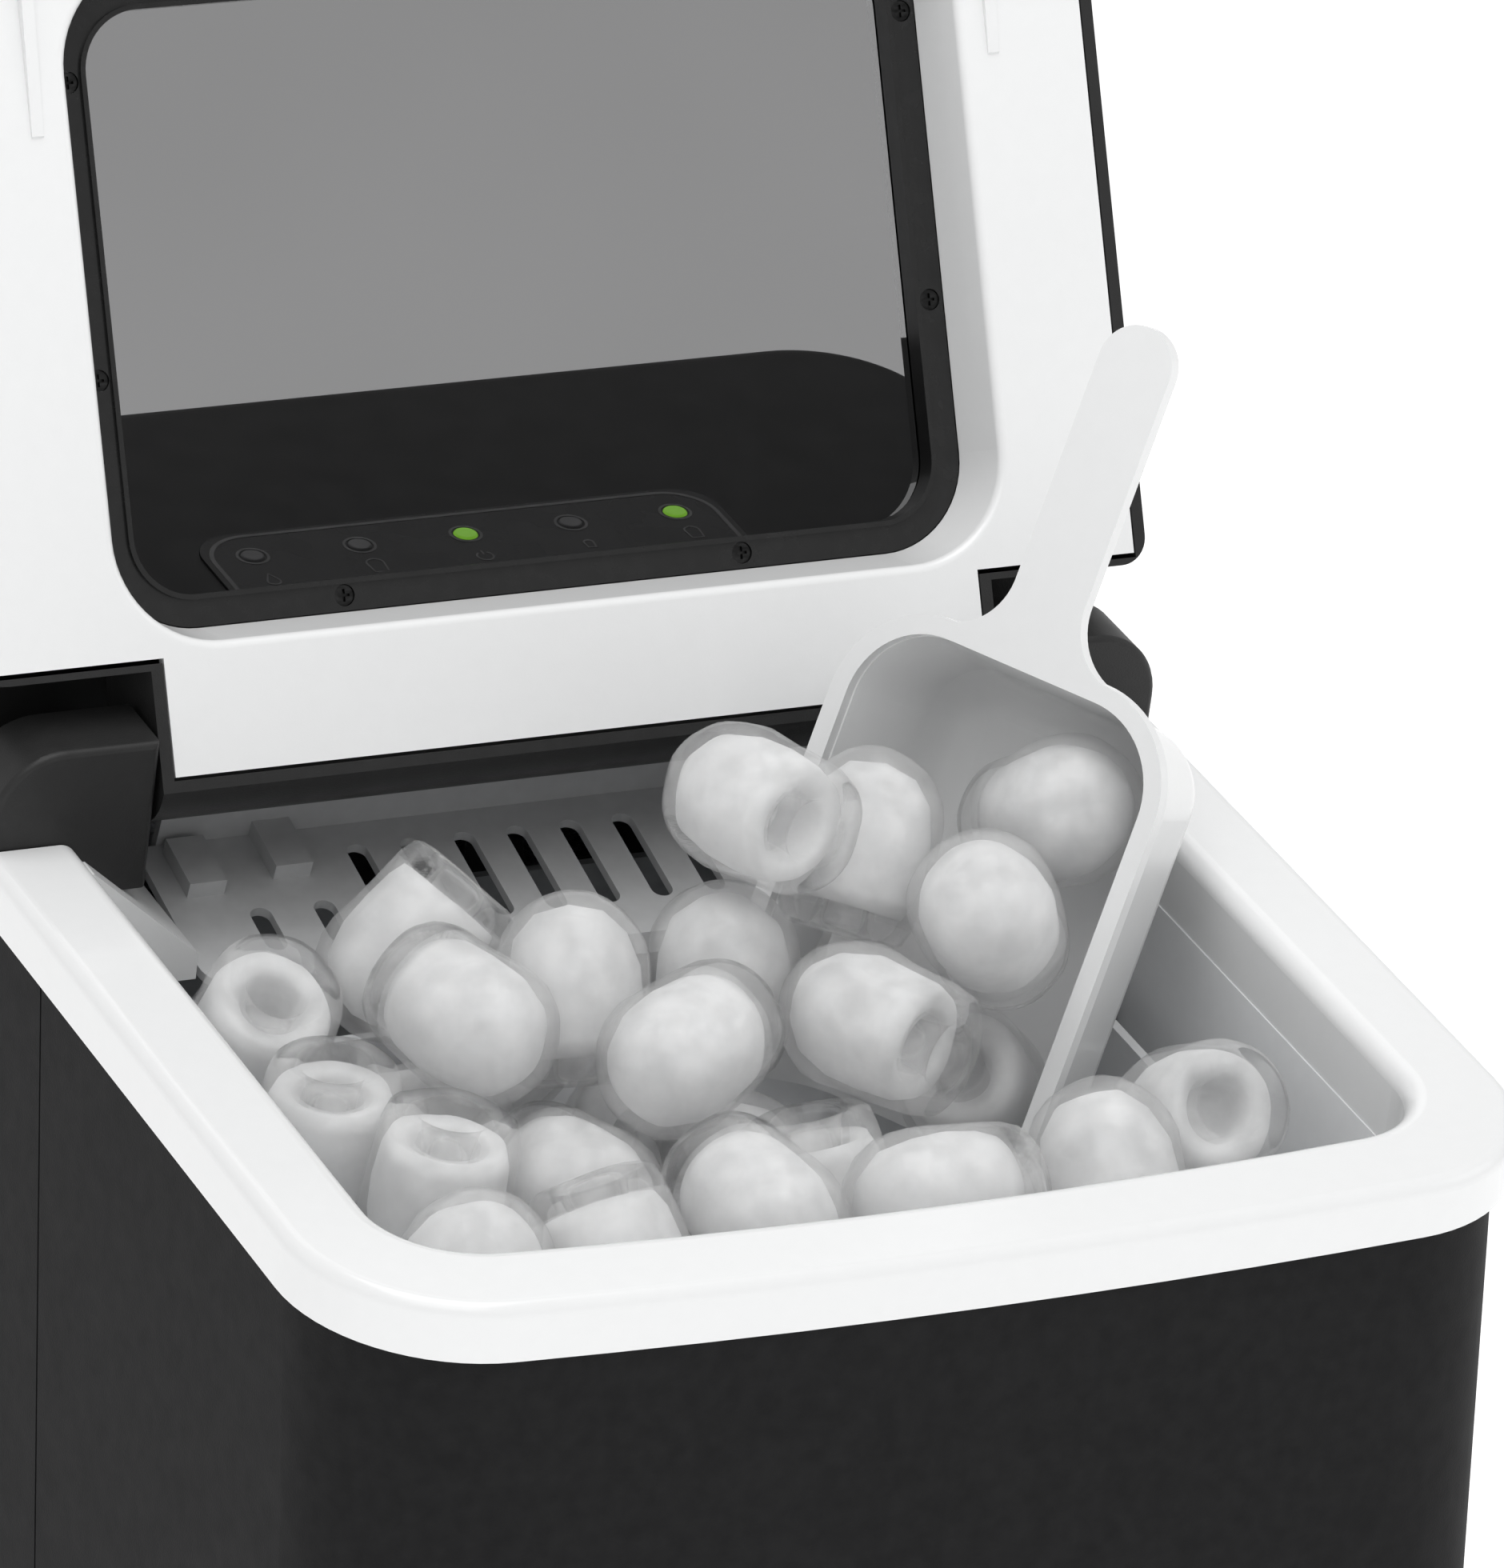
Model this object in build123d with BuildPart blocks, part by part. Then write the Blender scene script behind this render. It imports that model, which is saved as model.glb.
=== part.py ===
"""Countertop ice maker, lid open, with an ice basket, loose ice and a scoop.

World frame: origin on the floor at the middle of the base, +X to the right of the front,
+Y to the back, +Z up.  Most upper pieces are laid out in the deck frame: the sloping plane
of the white collar's top, x to the right, y up the slope from the front edge, z square to it.
"""
import math
import os

import numpy as np
from build123d import *

os.makedirs("parts", exist_ok=True)

# ---------------------------------------------------------------- driving dimensions (mm)
DECK_SLOPE = 10.58            # the collar's top falls towards the front, degrees
DECK_HEIGHT = 224.0           # collar top above the floor at its front edge
FRONT_Y = -136.0              # world y of the collar's front edge
DEPTH_DECK = 274.0            # front edge to the back of the rear cover, along the deck

COLLAR_HALF = 112.0
COLLAR_RADIUS = 31.0
COLLAR_BAND = 10.4
COLLAR_BOW = 5.3
RIM_SIDE = 17.2
RIM_FRONT = 17.7
OPENING_RADIUS = 17.3
OPENING_BACK = 248.0

BODY_HALF = 107.2             # housing half width at its foot
BODY_DRAFT = 0.6              # housing walls spread upwards, degrees
BODY_WALL = 2.2
BODY_FOOT = 7.0
SEAM_Y = -1.5                 # world y of the joint between front wrap and rear shell
SEAM_GAP = 0.6
REAR_Y = 133.5

COVER_TOP = 19.7              # rear cover above the deck
COVER_FRONT = 188.5
COVER_HALF = 111.0
COVER_WALL = 2.5
EAR_FRONT = 157.6
EAR_TOP = 17.5
EAR_INNER = 81.0
EAR_BACK = 172.0

HINGE_Y, HINGE_Z = 168.0, 9.6 # lid hinge axis in the deck frame
LID_LEAN = 28.9               # open lid leans back from the deck's normal, degrees
LID_BASE_Y, LID_BASE_Z = 156.6, 8.0
LID_LENGTH = 181.0
LID_THICK = 20.7
LID_WALL = 2.2
LID_HALF = 111.0
LINER_HALF = 108.5
TAB_HALF = 80.0
SIDE_START = 21.0             # where the lid's full width begins, along the lid
HINGE_S, HINGE_N = 6.9, -9.2  # hinge axis in the lid frame
BARREL_RADIUS = 11.5
PIN_RADIUS = 3.0
WINDOW_HALF, WINDOW_LOW, WINDOW_HIGH, WINDOW_RADIUS = 81.7, 27.6, 139.0, 16.0
WINDOW_DEPTH = 11.7
FRAME_WIDTH = 5.5

TUB_HALF = 94.5
TUB_FRONT, TUB_BACK = FRONT_Y + 17.0, 24.0
TUB_FLOOR = 48.0
CHAMBER_BACK = 126.0          # world y of the evaporator chamber's back wall
CHAMBER_FLOOR = -76.0         # deck z of its floor
TUB_WALL = 2.5

BASKET_HALF = 89.0
BASKET_FRONT, BASKET_BACK = FRONT_Y + 21.5, 11.5
BASKET_FLOOR = 168.0
BASKET_RIM = -36.0            # deck z of its rim
BASKET_WALL = 1.8

BULLET_RADIUS, BULLET_LENGTH = 13.2, 33.0

SHOVEL_HALF = 70.0
SHOVEL_BACK_Y, SHOVEL_BACK_Z = 187.0, -20.0
SHOVEL_SLOPE = 12.7
SHOVEL_LENGTH = 36.0
SLOT_PITCH, SLOT_LENGTH, SLOT_WIDTH = 10.2, 22.0, 4.0
SHOVEL_PIN_Y, SHOVEL_PIN_Z = 7.2, 3.2

TRAY_Y, TRAY_Z = 222.0, -38.0
TRAY_RADIUS, TRAY_WALL, TRAY_HALF = 30.0, 1.8, 66.0
FINGER_RADIUS, FINGER_LENGTH, FINGER_PITCH = 6.5, 38.0, 26.0

PANEL_HALF, PANEL_FRONT, PANEL_BACK = 50.0, 190.5, 222.5
LED_Y, LED_PITCH, LED_RADIUS = 213.8, 20.4, 2.2
BUTTON_Y, BUTTON_X, BUTTON_RADIUS = 196.6, 20.4, 5.3

SCOOP_ORIGIN = (41.6, 106.3, -12.0)       # deck point on the bowl's middle line
SCOOP_ACROSS = (0.488, -0.873, 0.0)
SCOOP_FACE = (-0.797, -0.446, 0.407)
SCOOP_HALF, SCOOP_DEPTH = 32.3, 31.0
SCOOP_LOW, SCOOP_HIGH = -32.0, 54.8
HANDLE_LENGTH, HANDLE_WIDTH, SCOOP_WALL = 61.0, 14.5, 1.8


# ---------------------------------------------------------------- frames
def tilted(angle):
    """A direction square to X, `angle` degrees up from +Y."""
    return (0, math.cos(math.radians(angle)), math.sin(math.radians(angle)))


DECK_FRONT = (0, FRONT_Y, DECK_HEIGHT)
DECK = Plane(origin=DECK_FRONT, x_dir=(1, 0, 0), z_dir=tilted(DECK_SLOPE + 90))
DECK_SIDE = Plane(origin=DECK_FRONT, x_dir=tilted(DECK_SLOPE), z_dir=(1, 0, 0))


def deck(x, y, z):
    """World point of a deck-frame point."""
    return DECK.from_local_coords(Vector(x, y, z))


def deck_direction(vector):
    """World direction of a deck-frame direction."""
    x, y, z = vector
    return (DECK.x_dir * x + DECK.y_dir * y + DECK.z_dir * z).normalized()


def deck_front(y):
    """Upright plane across the deck at deck y, drawn in (x, z), facing the front."""
    return Plane(origin=deck(0, y, 0), x_dir=(1, 0, 0), z_dir=deck_direction((0, -1, 0)))


LID_ANGLE = 90 + DECK_SLOPE - LID_LEAN    # direction of the open lid, up from +Y
LID_ORIGIN = deck(0, LID_BASE_Y, LID_BASE_Z)
LID = Plane(origin=LID_ORIGIN, x_dir=(1, 0, 0), z_dir=tilted(LID_ANGLE + 90))
LID_SIDE = Plane(origin=LID_ORIGIN, x_dir=tilted(LID_ANGLE), z_dir=(1, 0, 0))
SHOVEL_ORIGIN = deck(0, SHOVEL_BACK_Y, SHOVEL_BACK_Z)
SHOVEL_ANGLE = DECK_SLOPE + SHOVEL_SLOPE
SHOVEL = Plane(origin=SHOVEL_ORIGIN, x_dir=(1, 0, 0), z_dir=tilted(SHOVEL_ANGLE + 90))
SHOVEL_SIDE = Plane(origin=SHOVEL_ORIGIN, x_dir=tilted(SHOVEL_ANGLE), z_dir=(1, 0, 0))
SCOOP = Plane(origin=deck(*SCOOP_ORIGIN), x_dir=deck_direction(SCOOP_ACROSS),
              z_dir=deck_direction(SCOOP_FACE))


# ---------------------------------------------------------------- shared outlines
def bowed_outline(half, front, back, bow, radius, back_radius=0):
    """A plan with a bowed front edge and rounded front corners, as a face in XY."""
    with BuildSketch(mode=Mode.PRIVATE) as plan:
        with BuildLine():
            Polyline((-half, front), (-half, back), (half, back), (half, front))
            ThreePointArc((half, front), (0, front - bow), (-half, front))
        make_face()
        fillet(plan.vertices().group_by(Axis.Y)[0], radius)
        if back_radius:
            fillet(plan.vertices().group_by(Axis.Y)[-1], back_radius)
    return plan.sketch


def back_outline(half, front, back, radius):
    """A plan with square front corners and rounded back ones, as a face in XY."""
    with BuildSketch(mode=Mode.PRIVATE) as plan:
        with Locations((0, (front + back) / 2)):
            Rectangle(2 * half, back - front)
        fillet(plan.vertices().group_by(Axis.Y)[-1], radius)
    return plan.sketch


def rounded_window(grow):
    """The lid window's outline, grown by `grow`, as a face in XY of the lid frame."""
    with BuildSketch(mode=Mode.PRIVATE) as window:
        with Locations((0, (WINDOW_LOW + WINDOW_HIGH) / 2)):
            RectangleRounded(2 * (WINDOW_HALF + grow), WINDOW_HIGH - WINDOW_LOW + 2 * grow,
                             WINDOW_RADIUS + grow)
    return window.sketch


def finish_piece(piece, name):
    """Label a finished piece and write its STEP file."""
    piece.label = name
    export_step(piece, f"parts/{name}.step")


# ---------------------------------------------------------------- housing
def housing_solid(inset, foot):
    """The housing's drafted body, `inset` inside its outer wall, below the collar."""
    with BuildPart(mode=Mode.PRIVATE) as body:
        with BuildSketch(Plane.XY.offset(foot)):
            add(bowed_outline(BODY_HALF - inset, FRONT_Y + 4.8 + inset, REAR_Y - inset,
                              COLLAR_BOW, 30 - inset, 26 - inset))
        extrude(amount=330, taper=-BODY_DRAFT)
        split(bisect_by=DECK.offset(-COLLAR_BAND), keep=Keep.BOTTOM)
    return body.part


with BuildPart() as housing:
    add(housing_solid(0, BODY_FOOT))
    add(housing_solid(BODY_WALL, BODY_FOOT), mode=Mode.SUBTRACT)

DRAIN_Y, DRAIN_Z = -30.0, 58.0
with BuildPart() as front_wrap:
    add(housing.part)
    split(bisect_by=Plane.XZ.offset(-(SEAM_Y - SEAM_GAP / 2)), keep=Keep.TOP)
    with BuildSketch(Plane.YZ.offset(BODY_HALF - 6)):
        with Locations((DRAIN_Y, DRAIN_Z)):
            Circle(8.3)
    extrude(amount=20, mode=Mode.SUBTRACT)
finish_piece(front_wrap.part, "front_wrap")

VENT_Y, VENT_ROWS, VENT_PITCH = 72.0, 15, 8.0
with BuildPart() as rear_shell:
    add(housing.part)
    split(bisect_by=Plane.XZ.offset(-(SEAM_Y + SEAM_GAP / 2)), keep=Keep.BOTTOM)
    with BuildSketch(Plane.YZ.offset(-BODY_HALF - 20)):
        with Locations((VENT_Y, 90)):
            with GridLocations(0, VENT_PITCH, 1, VENT_ROWS):
                SlotOverall(88, 3.6)
    extrude(amount=2 * BODY_HALF + 40, mode=Mode.SUBTRACT)
    with BuildSketch(Plane.XZ.offset(-REAR_Y - 20)):
        with Locations((0, 150)):
            with GridLocations(0, VENT_PITCH, 1, 7):
                SlotOverall(120, 3.6)
        with Locations((-62, 40)):
            Circle(8.2)
    extrude(amount=30, mode=Mode.SUBTRACT)
finish_piece(rear_shell.part, "rear_shell")

with BuildPart() as base_tray:
    with BuildSketch(Plane.XY.offset(4.0)):
        add(bowed_outline(BODY_HALF - 4, FRONT_Y + 8.8, REAR_Y - 4, COLLAR_BOW, 26, 22))
    extrude(amount=20)
    with BuildSketch(Plane.XY.offset(6.8)):
        add(bowed_outline(BODY_HALF - 6.5, FRONT_Y + 11.3, REAR_Y - 6.5, COLLAR_BOW, 23.5, 19.5))
    extrude(amount=20, mode=Mode.SUBTRACT)
    with BuildSketch(Plane.XY.offset(4.0)):
        with Locations((-45, 70), (50, 70)):
            with GridLocations(0, 9, 1, 6):
                SlotOverall(54, 4)
    extrude(amount=5, mode=Mode.SUBTRACT)
    with BuildSketch(Plane.XY.offset(4.0)):
        with GridLocations(160, 208, 2, 2):
            Circle(10.2)
    extrude(amount=1.2, mode=Mode.SUBTRACT)
finish_piece(base_tray.part, "base_tray")

with BuildPart() as feet:
    with BuildSketch():
        with GridLocations(160, 208, 2, 2):
            Circle(8.6)
    extrude(amount=4)
    with BuildSketch(Plane.XY.offset(2.4)):
        with GridLocations(160, 208, 2, 2):
            Circle(10)
    extrude(amount=2.8)
    fillet(feet.edges().group_by(Axis.Z)[0], 1.0)
finish_piece(feet.part, "feet")

# Self-tapping screws that hold the rear shell to the base tray and the rear cover.
with BuildPart() as rear_screws:
    with BuildSketch(Plane.XZ.offset(-(REAR_Y + 0.5))):
        with Locations((-84, 18), (84, 18), (-84, 190), (84, 190)):
            Circle(3.6)
    extrude(amount=-2.6)
    fillet(rear_screws.edges().group_by(Axis.Y)[-1], 1.0)
    with BuildSketch(Plane.XZ.offset(-(REAR_Y + 4))):
        with Locations((-84, 18), (84, 18), (-84, 190), (84, 190)):
            Rectangle(4.4, 0.9)
            Rectangle(0.9, 4.4)
    extrude(amount=1.2, mode=Mode.SUBTRACT)
# The heads sit on the drafted wall, so the part inside the wall is cut away.
with BuildPart() as rear_screw_heads:
    add(rear_screws.part)
    add(housing_solid(0, BODY_FOOT), mode=Mode.SUBTRACT)
finish_piece(rear_screw_heads.part, "rear_screws")

GLAND_LENGTH = 11.27          # it reaches as far behind the middle as the collar does in front
with BuildPart() as power_inlet:
    with BuildSketch(Plane.XZ.offset(-(REAR_Y - 4))):
        with Locations((-62, 40)):
            Circle(7.9)
    extrude(amount=-GLAND_LENGTH)
    with BuildSketch(Plane.XZ.offset(-(REAR_Y + 1.4))):
        with Locations((-62, 40)):
            Circle(10.5)
    extrude(amount=-2)
    with BuildSketch(Plane.XZ.offset(-(REAR_Y - 6))):
        with Locations((-62, 40)):
            Circle(3.4)
    extrude(amount=-20, mode=Mode.SUBTRACT)
finish_piece(power_inlet.part, "cord_gland")


# ---------------------------------------------------------------- white collar
def opening_outline(grow, back):
    """The bin opening's plan in the deck frame, grown by `grow`, reaching back to `back`."""
    return bowed_outline(COLLAR_HALF - RIM_SIDE + grow, RIM_FRONT - grow, back,
                         COLLAR_BOW - 0.5, OPENING_RADIUS + grow)


DECK_UP = Axis(DECK_FRONT, tuple(DECK.z_dir))
DECK_BACK = Axis(DECK_FRONT, tuple(DECK.y_dir))


def in_deck(shape):
    """The centre of an edge or face in deck coordinates."""
    return DECK.to_local_coords(shape.center())


with BuildPart() as top_frame:
    with BuildSketch(DECK.offset(-COLLAR_BAND)):
        add(bowed_outline(COLLAR_HALF, 0, EAR_FRONT - 0.3, COLLAR_BOW, COLLAR_RADIUS))
    extrude(amount=COLLAR_BAND)
    # A low, hidden frame carries the collar back under the rear cover.
    with BuildSketch(DECK.offset(-COLLAR_BAND)):
        with Locations((0, 205)):
            Rectangle(205, 96)
    extrude(amount=3.0)
    with BuildSketch(DECK.offset(-14)):
        add(opening_outline(1.6, OPENING_BACK + 2))
    extrude(amount=8)
    with BuildSketch(DECK.offset(-20)):
        add(opening_outline(0, OPENING_BACK))
    extrude(amount=40, mode=Mode.SUBTRACT)
    rim = top_frame.faces().sort_by(DECK_UP)[-1].edges()
    fillet([e for e in rim if abs(in_deck(e).X) < 97 and 5 < in_deck(e).Y < 150], 3.4)
    rim = top_frame.faces().sort_by(DECK_UP)[-1].edges()
    fillet([e for e in rim if in_deck(e).Y < 5 or (abs(in_deck(e).X) > 98 and in_deck(e).Y < 150)], 2.6)
    # Sloping white cheeks guide the ice from the shovel into the basket.
    for side in (-1, 1):
        with BuildSketch(deck_front(186)):
            with BuildLine():
                Polyline((side * 96, -4), (side * 93, -4), (side * 72, -22), (side * 72, -27),
                         (side * 92.6, -27), (side * 92.6, -13.5), (side * 96, -13.5),
                         close=True)
            make_face()
        extrude(amount=33)
finish_piece(top_frame.part, "top_frame")


# ---------------------------------------------------------------- rear cover and controls
with BuildPart() as rear_top_cover:
    with BuildSketch(DECK.offset(-COLLAR_BAND)):
        add(back_outline(COVER_HALF, COVER_FRONT, DEPTH_DECK, 25))
    extrude(amount=COLLAR_BAND + COVER_TOP)
    top_edges = rear_top_cover.faces().sort_by(DECK_UP)[-1].edges()
    fillet([e for e in top_edges if in_deck(e).Y > COVER_FRONT + 1], 5)
    with BuildSketch(DECK.offset(-COLLAR_BAND)):
        add(back_outline(COVER_HALF - COVER_WALL, COVER_FRONT + COVER_WALL,
                         DEPTH_DECK - COVER_WALL, 25 - COVER_WALL))
    extrude(amount=COLLAR_BAND + COVER_TOP - COVER_WALL, mode=Mode.SUBTRACT)
    # Under the front wall the evaporator chamber opens into the bin.
    with BuildSketch(deck_front(COVER_FRONT + COVER_WALL + 1)):
        with Locations((0, -7.5)):
            Rectangle(2 * EAR_INNER - 2, 9)
    extrude(amount=8, mode=Mode.SUBTRACT)
    for side in (-1, 1):
        with BuildSketch(deck_front(EAR_FRONT)) as ear_face:
            middle = side * (EAR_INNER + COVER_HALF) / 2
            with Locations((middle, (EAR_TOP - COLLAR_BAND) / 2)):
                Rectangle(COVER_HALF - EAR_INNER, EAR_TOP + COLLAR_BAND)
            corners = ear_face.vertices().group_by(Axis.Y)[-1].sort_by(Axis.X)
            fillet(corners[-1 if side > 0 else 0], 13)
        extrude(amount=-(EAR_BACK - EAR_FRONT))
        with BuildSketch(DECK.offset(-COLLAR_BAND)):
            with Locations((middle, (EAR_FRONT + COVER_FRONT + 2) / 2)):
                Rectangle(COVER_HALF - EAR_INNER, COVER_FRONT + 2 - EAR_FRONT)
        extrude(amount=COLLAR_BAND + 3)
        with BuildSketch(DECK_SIDE.offset(side * EAR_INNER - 3)):
            with Locations((HINGE_Y, HINGE_Z)):
                Circle(PIN_RADIUS)
        extrude(amount=6, mode=Mode.SUBTRACT)
    ear_edges = [e for e in rear_top_cover.edges() if abs(in_deck(e).Y - EAR_FRONT) < 0.1
                 and in_deck(e).Z > -COLLAR_BAND + 1]
    fillet(ear_edges, 1.2)
    # Wells for the control panel, its indicators and the two buttons.
    with BuildSketch(DECK.offset(COVER_TOP - 0.8)):
        with Locations((0, (PANEL_FRONT + PANEL_BACK) / 2)):
            RectangleRounded(2 * PANEL_HALF, PANEL_BACK - PANEL_FRONT, 8)
    extrude(amount=3, mode=Mode.SUBTRACT)
    with BuildSketch(DECK.offset(COVER_TOP - 4)):
        with Locations((0, LED_Y)):
            with GridLocations(LED_PITCH, 0, 5, 1):
                Circle(LED_RADIUS + 0.5)
        with Locations((-BUTTON_X, BUTTON_Y), (BUTTON_X, BUTTON_Y)):
            Circle(BUTTON_RADIUS - 1.4)
    extrude(amount=6, mode=Mode.SUBTRACT)
    add(top_frame.part, mode=Mode.SUBTRACT)
finish_piece(rear_top_cover.part, "rear_top_cover")

with BuildPart() as control_panel:
    with BuildSketch(DECK.offset(COVER_TOP - 0.8)):
        with Locations((0, (PANEL_FRONT + PANEL_BACK) / 2)):
            RectangleRounded(2 * PANEL_HALF - 0.2, PANEL_BACK - PANEL_FRONT - 0.2, 7.9)
        with Locations((0, LED_Y)):
            with GridLocations(LED_PITCH, 0, 5, 1):
                Circle(LED_RADIUS + 0.05, mode=Mode.SUBTRACT)
        with Locations((-BUTTON_X, BUTTON_Y), (BUTTON_X, BUTTON_Y)):
            Circle(BUTTON_RADIUS + 0.3, mode=Mode.SUBTRACT)
    extrude(amount=1.2)
finish_piece(control_panel.part, "control_panel")


def indicator_lens(index):
    """One indicator's light pipe, from the board up through the panel."""
    with BuildPart(mode=Mode.PRIVATE) as lens:
        with BuildSketch(DECK.offset(12.5)):
            with Locations(((index - 2) * LED_PITCH, LED_Y)):
                Circle(LED_RADIUS)
        extrude(amount=COVER_TOP + 0.7 - 12.5)
        fillet(lens.edges().sort_by(DECK_UP)[-1], 0.5)
    return lens.part


LIT = (2, 4)
with BuildPart() as indicators_lit:
    for index in LIT:
        add(indicator_lens(index))
finish_piece(indicators_lit.part, "indicators_lit")

with BuildPart() as indicators_unlit:
    for index in range(5):
        if index not in LIT:
            add(indicator_lens(index))
finish_piece(indicators_unlit.part, "indicators_unlit")

for x, name in ((-BUTTON_X, "power_button"), (BUTTON_X, "select_button")):
    with BuildPart() as button:
        with BuildSketch(DECK.offset(COVER_TOP + 0.3)):
            with Locations((x, BUTTON_Y)):
                Circle(BUTTON_RADIUS)
        extrude(amount=1.5)
        fillet(button.edges().sort_by(DECK_UP)[-1], 0.7)
        with BuildSketch(DECK.offset(13.8)):
            with Locations((x, BUTTON_Y)):
                Circle(BUTTON_RADIUS - 2)
        extrude(amount=COVER_TOP + 0.6 - 13.8)
    finish_piece(button.part, name)

with BuildPart() as control_board:
    with BuildSketch(DECK.offset(9.0)):
        with Locations((0, 210)):
            Rectangle(108, 36)
    extrude(amount=1.6)
    with BuildSketch(DECK.offset(10.6)):
        with Locations((0, LED_Y)):
            with GridLocations(LED_PITCH, 0, 5, 1):
                Circle(1.8)
        with Locations((-BUTTON_X, BUTTON_Y), (BUTTON_X, BUTTON_Y)):
            Rectangle(6, 6)
        with Locations((-38, 197), (42, 201)):
            Rectangle(12, 7)
    extrude(amount=1.9)
    # Two posts hang the board from the cover.
    with BuildSketch(DECK.offset(10.6)):
        with Locations((-52, 224), (52, 224)):
            Circle(2)
    extrude(amount=COVER_TOP - COVER_WALL - 10.6)
finish_piece(control_board.part, "control_board")


# ---------------------------------------------------------------- lid
def lid_hinge_end(half, low, high, end_grow):
    """The tab's section along x: a barrel round the hinge axis below a flat slab."""
    with BuildPart(mode=Mode.PRIVATE) as tab:
        with BuildSketch(LID_SIDE.offset(-half)) as profile:
            with Locations((HINGE_S, HINGE_N)):
                Circle(BARREL_RADIUS - end_grow)
            with Locations(((HINGE_S + high) / 2, -LID_THICK / 2)):
                Rectangle(high - HINGE_S, LID_THICK - 2 * end_grow)
            with Locations((HINGE_S, 20 - low)):
                Rectangle(60, 40, mode=Mode.SUBTRACT)
        extrude(amount=2 * half)
    return tab.part


with BuildPart() as lid_shell:
    with BuildSketch(LID):
        add(bowed_outline(LID_HALF, -LID_LENGTH, -SIDE_START, COLLAR_BOW, COLLAR_RADIUS)
            .mirror(Plane.XZ))
    extrude(amount=-LID_THICK)
    lid_back = Axis(tuple(LID_ORIGIN), tuple(-LID.z_dir))
    along = [(e, LID.to_local_coords(e.center())) for e in lid_shell.edges()]
    fillet([e for e, c in along if abs(c.Z + LID_THICK) < 0.1 and c.Y > SIDE_START + 1], 6)
    fillet([e for e, c in [(e, LID.to_local_coords(e.center())) for e in lid_shell.edges()]
            if abs(c.Z + LID_THICK) < 0.1 and abs(c.Y - SIDE_START) < 0.1], 5)
    add(lid_hinge_end(TAB_HALF, 0, 40, 0))
    # Hollow for the liner and the window.
    with BuildSketch(LID):
        add(bowed_outline(LID_HALF - LID_WALL, -LID_LENGTH + LID_WALL, -SIDE_START - 1.2,
                          COLLAR_BOW, COLLAR_RADIUS - LID_WALL).mirror(Plane.XZ))
        with Locations((0, 25)):
            Rectangle(2 * (TAB_HALF - LID_WALL), 22)
    extrude(amount=-(LID_THICK - LID_WALL), mode=Mode.SUBTRACT)
    with BuildSketch(LID):
        with Locations((0, 9)):
            Rectangle(2 * (TAB_HALF - LID_WALL), 14)
    extrude(amount=-2.6, mode=Mode.SUBTRACT)
    with BuildSketch(LID.offset(-LID_THICK - 5)):
        add(rounded_window(-4.5))
    extrude(amount=12, mode=Mode.SUBTRACT)
    # Bores for the hinge pins.
    with BuildSketch(LID_SIDE.offset(-TAB_HALF - 1)):
        with Locations((HINGE_S, HINGE_N)):
            Circle(PIN_RADIUS + 0.05)
    extrude(amount=2 * TAB_HALF + 2, mode=Mode.SUBTRACT)
    # Finger grips on both edges near the front.
    for side in (-1, 1):
        with BuildSketch(LID_SIDE.offset(side * LID_HALF - 1)):
            with Locations((137, -8.5)):
                RectangleRounded(26, 11, 4)
        extrude(amount=2)
finish_piece(lid_shell.part, "lid_shell")

RECESS_HALF = 84.5
with BuildPart() as lid_liner:
    with BuildSketch(LID):
        add(bowed_outline(LINER_HALF, -LID_LENGTH + 2.4, -SIDE_START - 2.0, COLLAR_BOW,
                          COLLAR_RADIUS - 2.5).mirror(Plane.XZ))
        with Locations((0, 21)):
            Rectangle(2 * (TAB_HALF - LID_WALL - 0.3), 36.8)
    extrude(amount=-2.2)
    # The recess round the window, with drafted walls.
    with BuildSketch(LID):
        add(rounded_window(RECESS_HALF - WINDOW_HALF + 2))
    extrude(amount=-WINDOW_DEPTH, taper=12)
    with BuildSketch(LID):
        add(rounded_window(RECESS_HALF - WINDOW_HALF))
    extrude(amount=-WINDOW_DEPTH - 0.01, taper=12, mode=Mode.SUBTRACT)
    soft = [(e, LID.to_local_coords(e.center())) for e in lid_liner.edges()]
    fillet([e for e, c in soft if abs(c.Z) < 0.05 and WINDOW_LOW - 6 < c.Y < WINDOW_HIGH + 6
            and abs(c.X) < RECESS_HALF + 1], 1.6)
    # Tapered ribs beside the window.
    for side in (-1, 1):
        with BuildSketch(LID_SIDE.offset(side * 90.7 - 1.1)):
            with BuildLine():
                Polyline((112, -1), (113, 0.4), (152, 3.0), (152, -1), close=True)
            make_face()
        extrude(amount=2.2)
finish_piece(lid_liner.part, "lid_liner")

SCREW_SPOTS = [(side * 79.3, s) for side in (-1, 1) for s in (71, 122)]
SCREW_SPOTS += [(-38.0, 30.2), (38.0, 30.2), (-38.0, 136.5), (38.0, 136.5)]
with BuildPart() as window_frame:
    with BuildSketch(LID.offset(-WINDOW_DEPTH)):
        add(rounded_window(0.1))
        add(rounded_window(-FRAME_WIDTH), mode=Mode.SUBTRACT)
    extrude(amount=-3.8)
    # A thin raised lip on the inside edge.
    with BuildSketch(LID.offset(-WINDOW_DEPTH)):
        add(rounded_window(-FRAME_WIDTH + 0.9))
        add(rounded_window(-FRAME_WIDTH), mode=Mode.SUBTRACT)
    extrude(amount=0.7)
    with BuildSketch(LID.offset(-WINDOW_DEPTH + 1)):
        with Locations(*SCREW_SPOTS):
            Circle(1.9)
    extrude(amount=-8, mode=Mode.SUBTRACT)
finish_piece(window_frame.part, "window_frame")

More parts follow.
